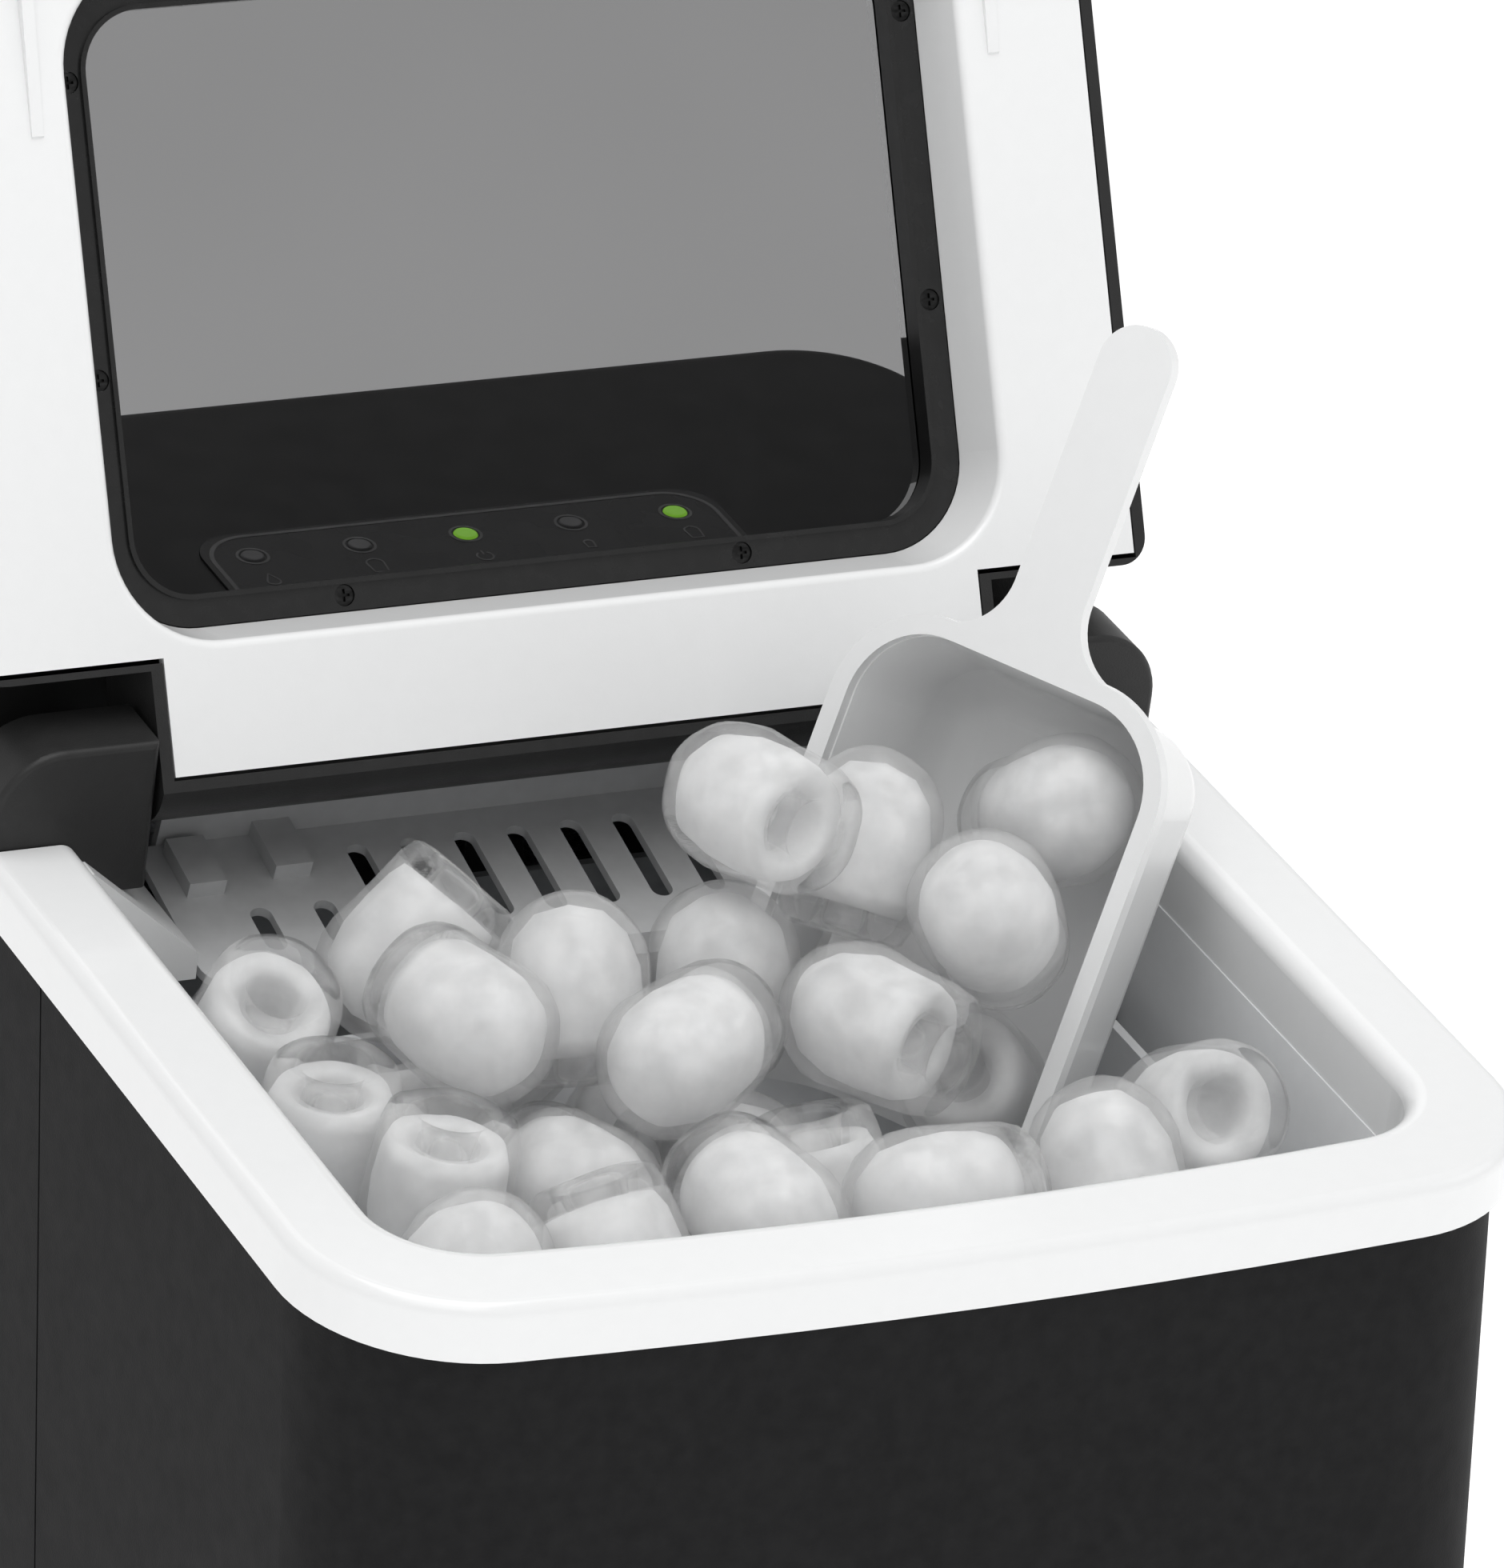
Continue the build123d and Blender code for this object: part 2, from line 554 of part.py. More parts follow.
with BuildPart() as window_pane:
    with BuildSketch(LID.offset(-WINDOW_DEPTH - 3.8)):
        add(rounded_window(-0.4))
    extrude(amount=-2.6)
    with BuildSketch(LID.offset(-WINDOW_DEPTH - 6)):
        add(rounded_window(-4.7))
    extrude(amount=-(LID_THICK - WINDOW_DEPTH - 6))
    with BuildSketch(LID.offset(-WINDOW_DEPTH)):
        with Locations(*SCREW_SPOTS):
            Circle(1.9)
    extrude(amount=-5.6, mode=Mode.SUBTRACT)
finish_piece(window_pane.part, "window_pane")

with BuildPart() as window_screws:
    with BuildSketch(LID.offset(-WINDOW_DEPTH - 1.4)):
        with Locations(*SCREW_SPOTS):
            Circle(1.8)
    extrude(amount=1.0)
    with BuildSketch(LID.offset(-WINDOW_DEPTH - 5.5)):
        with Locations(*SCREW_SPOTS):
            Circle(1.2)
    extrude(amount=4.5)
    with BuildSketch(LID.offset(-WINDOW_DEPTH - 1.0)):
        with Locations(*SCREW_SPOTS):
            Rectangle(2.2, 0.5)
            Rectangle(0.5, 2.2)
    extrude(amount=2, mode=Mode.SUBTRACT)
finish_piece(window_screws.part, "window_screws")

with BuildPart() as hinge_pins:
    for side in (-1, 1):
        with BuildSketch(DECK_SIDE.offset(side * TAB_HALF - (8 if side > 0 else 3))):
            with Locations((HINGE_Y, HINGE_Z)):
                Circle(PIN_RADIUS)
        extrude(amount=11)
finish_piece(hinge_pins.part, "hinge_pins")


# ---------------------------------------------------------------- tub and insulation
def upright(half, front, back, radius, floor, top):
    """An upright block with rounded corners, cut off `top` above the deck plane."""
    with BuildPart(mode=Mode.PRIVATE) as block:
        with BuildSketch(Plane.XY.offset(floor)):
            with Locations((0, (front + back) / 2)):
                RectangleRounded(2 * half, back - front, radius)
        extrude(amount=320 - floor)
        split(bisect_by=DECK.offset(top), keep=Keep.BOTTOM)
    return block.part


def chamber(grow, floor, top):
    """The evaporator chamber behind the bin, `grow` larger all round."""
    with BuildPart(mode=Mode.PRIVATE) as space:
        with BuildSketch(DECK.offset(floor)):
            with Locations((0, 205)):
                Rectangle(2 * (TUB_HALF - 1.5 + grow), 130)
        extrude(amount=top - floor)
        split(bisect_by=Plane.XZ.offset(-(CHAMBER_BACK + grow)), keep=Keep.TOP)
    return space.part


TUB_TOP = -14.2
with BuildPart() as ice_tub:
    add(upright(TUB_HALF + TUB_WALL, TUB_FRONT - TUB_WALL, TUB_BACK + TUB_WALL, 17,
                TUB_FLOOR - TUB_WALL, TUB_TOP))
    add(chamber(TUB_WALL, CHAMBER_FLOOR - TUB_WALL, TUB_TOP))
    add(upright(TUB_HALF, TUB_FRONT, TUB_BACK, 14.5, TUB_FLOOR, TUB_TOP + 5),
        mode=Mode.SUBTRACT)
    add(chamber(0, CHAMBER_FLOOR, TUB_TOP + 5), mode=Mode.SUBTRACT)
    # Ledges that carry the basket.
    for side in (-1, 1):
        with BuildSketch(Plane.XY.offset(BASKET_FLOOR - 6)):
            with Locations((side * (TUB_HALF - 5), -52)):
                Rectangle(11, 90)
        extrude(amount=6)
    # Spout through the right wall for the drain.
    with BuildSketch(Plane.YZ.offset(TUB_HALF + 1)):
        with Locations((DRAIN_Y, DRAIN_Z)):
            Circle(6)
    extrude(amount=9)
    with BuildSketch(Plane.YZ.offset(TUB_HALF - 2)):
        with Locations((DRAIN_Y, DRAIN_Z)):
            Circle(4)
    extrude(amount=14, mode=Mode.SUBTRACT)
finish_piece(ice_tub.part, "ice_tub")

FOAM = 6.5
with BuildPart() as foam_insulation:
    add(upright(TUB_HALF + TUB_WALL + FOAM, TUB_FRONT - TUB_WALL - FOAM,
                TUB_BACK + TUB_WALL - 1, 20, TUB_FLOOR - TUB_WALL - 8, TUB_TOP - 2))
    add(upright(TUB_HALF + TUB_WALL, TUB_FRONT - TUB_WALL, TUB_BACK + TUB_WALL + 6, 17,
                TUB_FLOOR - TUB_WALL, TUB_TOP + 5), mode=Mode.SUBTRACT)
    add(chamber(TUB_WALL + 0.2, CHAMBER_FLOOR - TUB_WALL - 0.2, 0), mode=Mode.SUBTRACT)
    with BuildSketch(Plane.YZ.offset(TUB_HALF)):
        with Locations((DRAIN_Y, DRAIN_Z)):
            Circle(6.2)
    extrude(amount=20, mode=Mode.SUBTRACT)
finish_piece(foam_insulation.part, "foam_insulation")

with BuildPart() as drain_cap:
    with BuildSketch(Plane.YZ.offset(BODY_HALF - 2.4)):
        with Locations((DRAIN_Y, DRAIN_Z)):
            Circle(3.9)
    extrude(amount=-6)
    with BuildSketch(Plane.YZ.offset(BODY_HALF - 2.4)):
        with Locations((DRAIN_Y, DRAIN_Z)):
            Circle(7.9)
    extrude(amount=5.6)
    fillet(drain_cap.edges().group_by(Axis.X)[-1], 1.2)
    with BuildSketch(Plane.YZ.offset(BODY_HALF + 2)):
        with Locations((DRAIN_Y, DRAIN_Z)):
            Rectangle(10, 2)
    extrude(amount=2, mode=Mode.SUBTRACT)
finish_piece(drain_cap.part, "drain_cap")


# ---------------------------------------------------------------- evaporator and tray
with BuildPart() as evaporator:
    with BuildSketch(DECK.offset(TRAY_Z + 24)):
        with Locations((0, TRAY_Y)):
            RectangleRounded(130, 36, 6)
    extrude(amount=9)
finish_piece(evaporator.part, "evaporator")

with BuildPart() as evaporator_fingers:
    with BuildSketch(DECK.offset(TRAY_Z + 24)):
        with Locations((0, TRAY_Y - 9)):
            with GridLocations(FINGER_PITCH, 0, 5, 1):
                Circle(FINGER_RADIUS)
        with Locations((0, TRAY_Y + 9)):
            with GridLocations(FINGER_PITCH, 0, 4, 1):
                Circle(FINGER_RADIUS)
    extrude(amount=-FINGER_LENGTH)
    fillet(evaporator_fingers.edges().group_by(DECK_UP)[0], FINGER_RADIUS - 0.5)
finish_piece(evaporator_fingers.part, "evaporator_fingers")

with BuildPart() as water_tray:
    with BuildSketch(DECK_SIDE.offset(-TRAY_HALF)):
        with Locations((TRAY_Y, TRAY_Z)):
            Circle(TRAY_RADIUS + TRAY_WALL)
        with Locations((TRAY_Y, TRAY_Z + 52)):
            Rectangle(80, 100, mode=Mode.SUBTRACT)
    extrude(amount=2 * TRAY_HALF)
    with BuildSketch(DECK_SIDE.offset(-TRAY_HALF + 2)):
        with Locations((TRAY_Y, TRAY_Z)):
            Circle(TRAY_RADIUS)
    extrude(amount=2 * TRAY_HALF - 4, mode=Mode.SUBTRACT)
    for side in (-1, 1):
        with BuildSketch(DECK_SIDE.offset(side * TRAY_HALF - 1)):
            with Locations((TRAY_Y, TRAY_Z)):
                Circle(6)
        extrude(amount=2)
    with BuildSketch(DECK_SIDE.offset(-TRAY_HALF - 12)):
        with Locations((TRAY_Y, TRAY_Z)):
            Circle(3)
    extrude(amount=12)
    with BuildSketch(DECK_SIDE.offset(TRAY_HALF)):
        with Locations((TRAY_Y, TRAY_Z)):
            Circle(3)
    extrude(amount=12)
finish_piece(water_tray.part, "water_tray")

with BuildPart() as tray_gearmotor:
    with BuildSketch(DECK_SIDE.offset(-TUB_HALF + 2)):
        with Locations((TRAY_Y, TRAY_Z)):
            RectangleRounded(34, 34, 4)
    extrude(amount=18)
    with BuildSketch(DECK_SIDE.offset(-TUB_HALF + 10)):
        with Locations((TRAY_Y, TRAY_Z)):
            Circle(3.05)
    extrude(amount=12, mode=Mode.SUBTRACT)
finish_piece(tray_gearmotor.part, "tray_gearmotor")

with BuildPart() as tray_bearing:
    with BuildSketch(DECK_SIDE.offset(TRAY_HALF + 4)):
        with Locations((TRAY_Y, TRAY_Z)):
            Circle(8)
            Circle(3.05, mode=Mode.SUBTRACT)
        with Locations((TRAY_Y, TRAY_Z - 22)):
            Rectangle(12, 30)
        with Locations((TRAY_Y, TRAY_Z)):
            Circle(3.05, mode=Mode.SUBTRACT)
    extrude(amount=8)
finish_piece(tray_bearing.part, "tray_bearing")


# ---------------------------------------------------------------- ice shovel
with BuildPart() as ice_shovel:
    with BuildSketch(SHOVEL.offset(-1.8)):
        with Locations((0, -SHOVEL_LENGTH / 2)):
            Rectangle(2 * SHOVEL_HALF, SHOVEL_LENGTH)
        fillet(vertices().group_by(Axis.Y)[0], 5)
        with Locations((0, -SHOVEL_LENGTH / 2 + 1.5)):
            with GridLocations(SLOT_PITCH, 0, 7, 1):
                SlotOverall(SLOT_LENGTH, SLOT_WIDTH, 90, mode=Mode.SUBTRACT)
        with Locations((-54, -24), (-42, -24), (42, -24), (54, -24)):
            SlotOverall(11, SLOT_WIDTH, 90, mode=Mode.SUBTRACT)
    extrude(amount=1.8)
    # Turned-down front lip.
    with BuildSketch(SHOVEL_SIDE.offset(-SHOVEL_HALF + 5)):
        with BuildLine():
            Polyline((-SHOVEL_LENGTH, 0), (-SHOVEL_LENGTH - 1.6, -3.5),
                     (-SHOVEL_LENGTH + 0.2, -3.5), (-SHOVEL_LENGTH + 1.4, -1.2), close=True)
        make_face()
    extrude(amount=2 * SHOVEL_HALF - 10)
    # Upright back flange, and the knuckles that turn on the pins.
    with BuildSketch(SHOVEL.offset(-1.8)):
        with Locations((0, 0.9)):
            Rectangle(2 * SHOVEL_HALF - 8, 1.8)
    extrude(amount=8.5)
    for side in (-1, 1):
        with BuildSketch(SHOVEL_SIDE.offset(side * 48 - 6)):
            with Locations((SHOVEL_PIN_Y, SHOVEL_PIN_Z)):
                Circle(3.4)
            with Locations((SHOVEL_PIN_Y / 2, SHOVEL_PIN_Z)):
                Rectangle(SHOVEL_PIN_Y, 5)
        extrude(amount=12)
        with BuildSketch(SHOVEL_SIDE.offset(side * 48 - 12)):
            with Locations((SHOVEL_PIN_Y, SHOVEL_PIN_Z)):
                Circle(1.8)
        extrude(amount=24)
        # Sliding clip housings on the plate.
        with BuildSketch(SHOVEL):
            with Locations((side * 45, -6), (side * 62, -8)):
                Rectangle(7, 12)
        extrude(amount=3.2)
finish_piece(ice_shovel.part, "ice_shovel")

with BuildPart() as shovel_brackets:
    for x in (-58.5, -37.5, 37.5, 58.5):
        with BuildSketch(SHOVEL_SIDE.offset(x - 1.5)):
            with Locations((SHOVEL_PIN_Y, SHOVEL_PIN_Z)):
                Circle(4.6)
            with Locations((SHOVEL_PIN_Y + 1, SHOVEL_PIN_Z + 5)):
                Rectangle(6, 10)
            with Locations((SHOVEL_PIN_Y, SHOVEL_PIN_Z)):
                Circle(1.86, mode=Mode.SUBTRACT)
        extrude(amount=3)
    with BuildSketch(SHOVEL.offset(SHOVEL_PIN_Z + 8)):
        with Locations((0, SHOVEL_PIN_Y + 1)):
            Rectangle(130, 6)
    extrude(amount=2.4)
finish_piece(shovel_brackets.part, "shovel_brackets")

# Infra-red pair that sees a full basket, one in each side wall.
with BuildPart() as ice_sensors:
    for side in (-1, 1):
        with BuildSketch(Plane.YZ.offset(side * (TUB_HALF - 0.6) - 0.6)):
            with Locations((0, 212)):
                RectangleRounded(9, 14, 2)
        extrude(amount=1.2)
finish_piece(ice_sensors.part, "ice_sensors")


# ---------------------------------------------------------------- refrigeration
COMPRESSOR_X, COMPRESSOR_Y = -50.0, 78.0
with BuildPart() as compressor:
    with BuildSketch(Plane.XY.offset(22)):
        with Locations((COMPRESSOR_X, COMPRESSOR_Y)):
            Ellipse(42, 38)
    extrude(amount=112)
    fillet(compressor.edges().group_by(Axis.Z)[-1], 22)
    fillet(compressor.edges().group_by(Axis.Z)[0], 12)
    with BuildSketch(Plane.XY.offset(15)):
        with Locations((COMPRESSOR_X, COMPRESSOR_Y)):
            Rectangle(84, 60)
            with GridLocations(72, 48, 2, 2):
                Circle(3, mode=Mode.SUBTRACT)
    extrude(amount=3)
    with BuildSketch(Plane.XY.offset(18)):
        with Locations((COMPRESSOR_X, COMPRESSOR_Y)):
            Rectangle(40, 40)
    extrude(amount=10)
finish_piece(compressor.part, "compressor")

with BuildPart() as compressor_grommets:
    with BuildSketch(Plane.XY.offset(6.8)):
        with Locations((COMPRESSOR_X, COMPRESSOR_Y)):
            with GridLocations(72, 48, 2, 2):
                Circle(6)
    extrude(amount=8.2)
finish_piece(compressor_grommets.part, "compressor_grommets")

with BuildPart() as condenser:
    with BuildSketch(Plane.YZ.offset(76)):
        with Locations((76, 80)):
            Rectangle(92, 112)
    extrude(amount=22)
    # Stacked fins show as grooves on both faces.
    for x in (74, 94):
        with BuildSketch(Plane.YZ.offset(x)):
            with Locations((76, 80)):
                with GridLocations(5, 0, 17, 1):
                    Rectangle(2.6, 106)
        extrude(amount=6, mode=Mode.SUBTRACT)
finish_piece(condenser.part, "condenser")

FAN_X, FAN_Y, FAN_Z = 60.0, 76.0, 80.0
with BuildPart() as fan_shroud:
    with BuildSketch(Plane.YZ.offset(FAN_X - 4)):
        with Locations((FAN_Y, FAN_Z)):
            Rectangle(92, 112)
            Circle(42, mode=Mode.SUBTRACT)
    extrude(amount=19.8)
    with BuildSketch(Plane.YZ.offset(FAN_X)):
        with Locations((FAN_Y, FAN_Z)):
            Rectangle(88, 108)
            Circle(42, mode=Mode.SUBTRACT)
    extrude(amount=20, mode=Mode.SUBTRACT)
    # Struts that hold the motor.
    with BuildSketch(Plane.YZ.offset(FAN_X - 4)):
        with Locations((FAN_Y, FAN_Z)):
            Rectangle(88, 5)
            Rectangle(5, 88)
            Circle(13.1, mode=Mode.SUBTRACT)
    extrude(amount=2.5)
finish_piece(fan_shroud.part, "fan_shroud")

with BuildPart() as fan_motor:
    with BuildSketch(Plane.YZ.offset(FAN_X - 18)):
        with Locations((FAN_Y, FAN_Z)):
            Circle(13)
    extrude(amount=17)
    fillet(fan_motor.edges().group_by(Axis.X)[0], 2)
    with BuildSketch(Plane.YZ.offset(FAN_X - 1)):
        with Locations((FAN_Y, FAN_Z)):
            Circle(2)
    extrude(amount=9)
finish_piece(fan_motor.part, "fan_motor")

with BuildPart() as fan_blade:
    with BuildSketch(Plane.YZ.offset(FAN_X)):
        with Locations((FAN_Y, FAN_Z)):
            Circle(12)
    extrude(amount=11)
    with BuildSketch(Plane.YZ.offset(FAN_X - 1)):
        with Locations((FAN_Y, FAN_Z)):
            Circle(2.05)
    extrude(amount=9.5, mode=Mode.SUBTRACT)
    pitch = math.radians(35)
    for turn in range(7):
        spin = 2 * math.pi / 7 * turn
        radial = (0, math.cos(spin), math.sin(spin))
        face = (math.cos(pitch), -math.sin(pitch) * math.sin(spin),
                math.sin(pitch) * math.cos(spin))
        blade = Plane(origin=(FAN_X + 5.5, FAN_Y, FAN_Z), x_dir=radial, z_dir=face)
        with BuildSketch(blade.offset(-0.6)):
            with Locations((25, 0)):
                RectangleRounded(28, 11, 4)
        extrude(amount=1.2)
finish_piece(fan_blade.part, "fan_blade")

with BuildPart() as filter_drier:
    with BuildSketch(Plane.XY.offset(70)):
        with Locations((18, 112)):
            Circle(8)
    extrude(amount=60)
    fillet(filter_drier.edges(), 4)
finish_piece(filter_drier.part, "filter_drier")


def bent_tube(points, bend, radius):
    """A tube of one radius along straight runs joined by arcs."""
    with BuildPart(mode=Mode.PRIVATE) as tube:
        with BuildLine() as route:
            FilletPolyline(*points, radius=bend)
        with BuildSketch(Plane(origin=route.line @ 0, z_dir=route.line % 0)):
            Circle(radius)
        sweep()
    return tube.part


with BuildPart() as refrigerant_tubes:
    add(bent_tube([(-50, 78, 134), (-50, 78, 160), (-10, 112, 160), (18, 112, 160),
                   (18, 112, 130)], 10, 2.5))
    add(bent_tube([(18, 112, 70), (18, 112, 32), (40, 125, 27.5), (87, 125, 27.5)], 10, 2.5))
finish_piece(refrigerant_tubes.part, "refrigerant_tubes")

with BuildPart() as water_pump:
    with BuildSketch(Plane.XY.offset(8)):
        with Locations((-60, -14)):
            RectangleRounded(42, 38, 6)
    extrude(amount=26)
    with BuildSketch(Plane.XY.offset(34)):
        with Locations((-60, -14)):
            Circle(5)
    extrude(amount=3)
finish_piece(water_pump.part, "water_pump")

with BuildPart() as water_hose:
    add(bent_tube([(-60, 5, 20), (-60, 29, 20), (-101, 31, 34), (-101, 32, 150)], 8, 3.2))
finish_piece(water_hose.part, "water_hose")

with BuildPart() as power_board:
    with BuildSketch(Plane.XY.offset(9)):
        with Locations((52, -56)):
            Rectangle(80, 70)
    extrude(amount=1.6)
    with BuildSketch(Plane.XY.offset(10.6)):
        with Locations((30, -70), (70, -40)):
            Rectangle(18, 16)
        with Locations((64, -74), (36, -40)):
            Circle(6)
    extrude(amount=14)
finish_piece(power_board.part, "power_board")


# ---------------------------------------------------------------- basket
with BuildPart() as basket:
    add(upright(BASKET_HALF, BASKET_FRONT, BASKET_BACK, 14, BASKET_FLOOR, BASKET_RIM))
    add(upright(BASKET_HALF - BASKET_WALL, BASKET_FRONT + BASKET_WALL,
                BASKET_BACK - BASKET_WALL, 12.2, BASKET_FLOOR + BASKET_WALL, BASKET_RIM + 5),
        mode=Mode.SUBTRACT)
    with BuildSketch(Plane.XY.offset(BASKET_FLOOR - 1)):
        with Locations((0, (BASKET_FRONT + BASKET_BACK) / 2)):
            with GridLocations(40, 9, 4, 11):
                SlotOverall(30, 4)
    extrude(amount=4, mode=Mode.SUBTRACT)
finish_piece(basket.part, "basket")


# ---------------------------------------------------------------- scoop
def scoop_bowl(inset):
    """The scoop's drafted bowl, `inset` inside its outer wall, closed at the handle end."""
    with BuildPart(mode=Mode.PRIVATE) as bowl:
        with BuildSketch(SCOOP) as rim:
            half = SCOOP_HALF - inset
            with BuildLine():
                Polyline((-half, SCOOP_LOW - 12), (-half, SCOOP_HIGH - inset),
                         (half, SCOOP_HIGH - inset), (half, SCOOP_LOW - 12), close=True)
            make_face()
            fillet(rim.vertices().group_by(Axis.Y)[-1], 17 - inset)
        extrude(amount=-(SCOOP_DEPTH - inset), taper=11)
        floor_edges = [e for e in bowl.edges()
                       if abs(SCOOP.to_local_coords(e.center()).Z + SCOOP_DEPTH - inset) < 0.1
                       and SCOOP.to_local_coords(e.center()).Y > SCOOP_LOW - 5]
        fillet(floor_edges, 10 - inset)
    return bowl.part


with BuildPart() as scoop:
    add(scoop_bowl(0))
    # Rolled rim and handle, one flat plate with a flared root.
    with BuildSketch(SCOOP.offset(-1.6)):
        with BuildLine():
            lip = SCOOP_HALF + 1.6
            Polyline((-lip, SCOOP_LOW - 12), (-lip, SCOOP_HIGH + 1.6), (lip, SCOOP_HIGH + 1.6),
                     (lip, SCOOP_LOW - 12), close=True)
        make_face()
        fillet(vertices().group_by(Axis.Y)[-1], 18.6)
        with BuildLine():
            half, tip = HANDLE_WIDTH / 2, SCOOP_HIGH + HANDLE_LENGTH
            ThreePointArc((-half, tip - half), (0, tip), (half, tip - half))
            Line((half, tip - half), (half, SCOOP_HIGH + 12))
            ThreePointArc((half, SCOOP_HIGH + 12), (half + 2.8, SCOOP_HIGH + 5),
                          (half + 10, SCOOP_HIGH + 1))
            Polyline((half + 10, SCOOP_HIGH + 1), (half + 10, SCOOP_HIGH - 3),
                     (-half - 10, SCOOP_HIGH - 3), (-half - 10, SCOOP_HIGH + 1))
            ThreePointArc((-half - 10, SCOOP_HIGH + 1), (-half - 2.8, SCOOP_HIGH + 5),
                          (-half, SCOOP_HIGH + 12))
            Line((-half, SCOOP_HIGH + 12), (-half, tip - half))
        make_face()
    extrude(amount=2.6)
    with BuildSketch(SCOOP.offset(1.5)) as mouth:
        half = SCOOP_HALF - SCOOP_WALL
        with BuildLine():
            Polyline((-half, SCOOP_LOW - 14), (-half, SCOOP_HIGH - SCOOP_WALL),
                     (half, SCOOP_HIGH - SCOOP_WALL), (half, SCOOP_LOW - 14), close=True)
        make_face()
        fillet(mouth.vertices().group_by(Axis.Y)[-1], 15.2)
    extrude(amount=-3, mode=Mode.SUBTRACT)
    add(scoop_bowl(SCOOP_WALL), mode=Mode.SUBTRACT)
    split(bisect_by=Plane(origin=SCOOP.from_local_coords(Vector(0, SCOOP_LOW, 0)),
                          z_dir=SCOOP.y_dir), keep=Keep.TOP)
finish_piece(scoop.part, "scoop")


# ---------------------------------------------------------------- loose ice
# The top of the heap: deck x, y, z, then the domed end's bearing and rise in degrees.
HEAP_TOP = [
    (-63, 127, -15, 155, 0), (-73, 111, -16, 160, 15), (-72, 92, -18, 60, -10),
    (-54, 109, -20, -20, 5), (-66, 65, -15, 160, 10), (-68, 58, -24, 200, 20),
    (-45, 88, -6, 235, 25), (-24, 112, -8, 110, 50), (-3, 120, -15, -20, 0),
    (-29, 74, -14, 50, 0), (-47, 55, -22, 120, 10), (-34, 57, -19, 240, 20),
    (-4, 86, -5, 165, 20), (-14, 57, -16, 240, 35), (-6, 70, -16, 90, 75),
    (22, 70, -9, 200, 12), (14, 62, -20, 150, 10), (34, 52, -14, -25, 8),
    (54, 56, -18, 60, 20), (60, 72, -20, 150, 30), (70, 62, -18, -60, 10),
    (83, 80, -17, -25, 5), (82, 53, -18, 200, 10), (8, 55, -27, 220, 20),
    (-14, 54, -28, 250, 20), (76, 103, -27, 100, 0), (-40, 128, -23, 10, 5),
    (20, 124, -26, 170, 0), (56, 128, -32, 30, 0),
]
# Bullets that lie in the scoop's bowl: across, along and out of its mouth, then as above.
IN_SCOOP = [
    (-14, -2, 25, 165, 10), (-8, 0, 8, 60, 0), (19, 3, 10, 235, 25), (12, 22, -13, 200, 40),
    (-14, -12, -14, 140, 0), (12, -22, -13, 20, 0),
]
SCOOP_LIFT = deck_direction((0, -0.2, 0.98))
SPHERE = 13.6                 # each bullet is kept apart as three spheres of this radius
SPHERE_STEPS = np.array([-9.0, -2.9, 3.2])
TOUCH = 0.4                   # the most that two spheres may still overlap


def bearing_direction(bearing, rise):
    """World direction from a bearing round the deck's normal and a rise, in degrees."""
    b, e = math.radians(bearing), math.radians(rise)
    return deck_direction((math.cos(b) * math.cos(e), math.sin(b) * math.cos(e), math.sin(e)))


def starting_ice():
    """First places and directions of the heap's bullets and of the scooped ones."""
    places, ways = [], []
    for row in range(4):
        for column in range(4):
            places.append((-66 + 44 * column, BASKET_FRONT + 18 + 29 * row, BASKET_FLOOR + 17))
            ways.append(bearing_direction(10 * (row + column), 0))
    for x, y, z, bearing, rise in HEAP_TOP:
        places.append(tuple(deck(x, y, z)))
        ways.append(bearing_direction(bearing, rise))
    heap_count = len(places)
    for a, b, n, bearing, rise in IN_SCOOP:
        places.append(tuple(SCOOP.from_local_coords(Vector(a, b, n))))
        ways.append(bearing_direction(bearing, rise))
    return np.array(places), np.array([tuple(w) for w in ways]), heap_count


def push_out_of_box(points, low, high):
    """How far each sphere must move to stand clear of a box, in the box's frame."""
    nearest = np.clip(points, low, high)
    away = points - nearest
    gap = np.linalg.norm(away, axis=-1)
    inside = gap < 1e-6
    middle = (low + high) / 2
    away[inside] = (points - middle)[inside] * np.array([1.0, 0.3, 0.3])
    length = np.maximum(np.linalg.norm(away, axis=-1), 1e-6)
    need = np.where(inside, SPHERE + 4, SPHERE - gap)
    return away / length[..., None] * np.maximum(need, 0)[..., None]


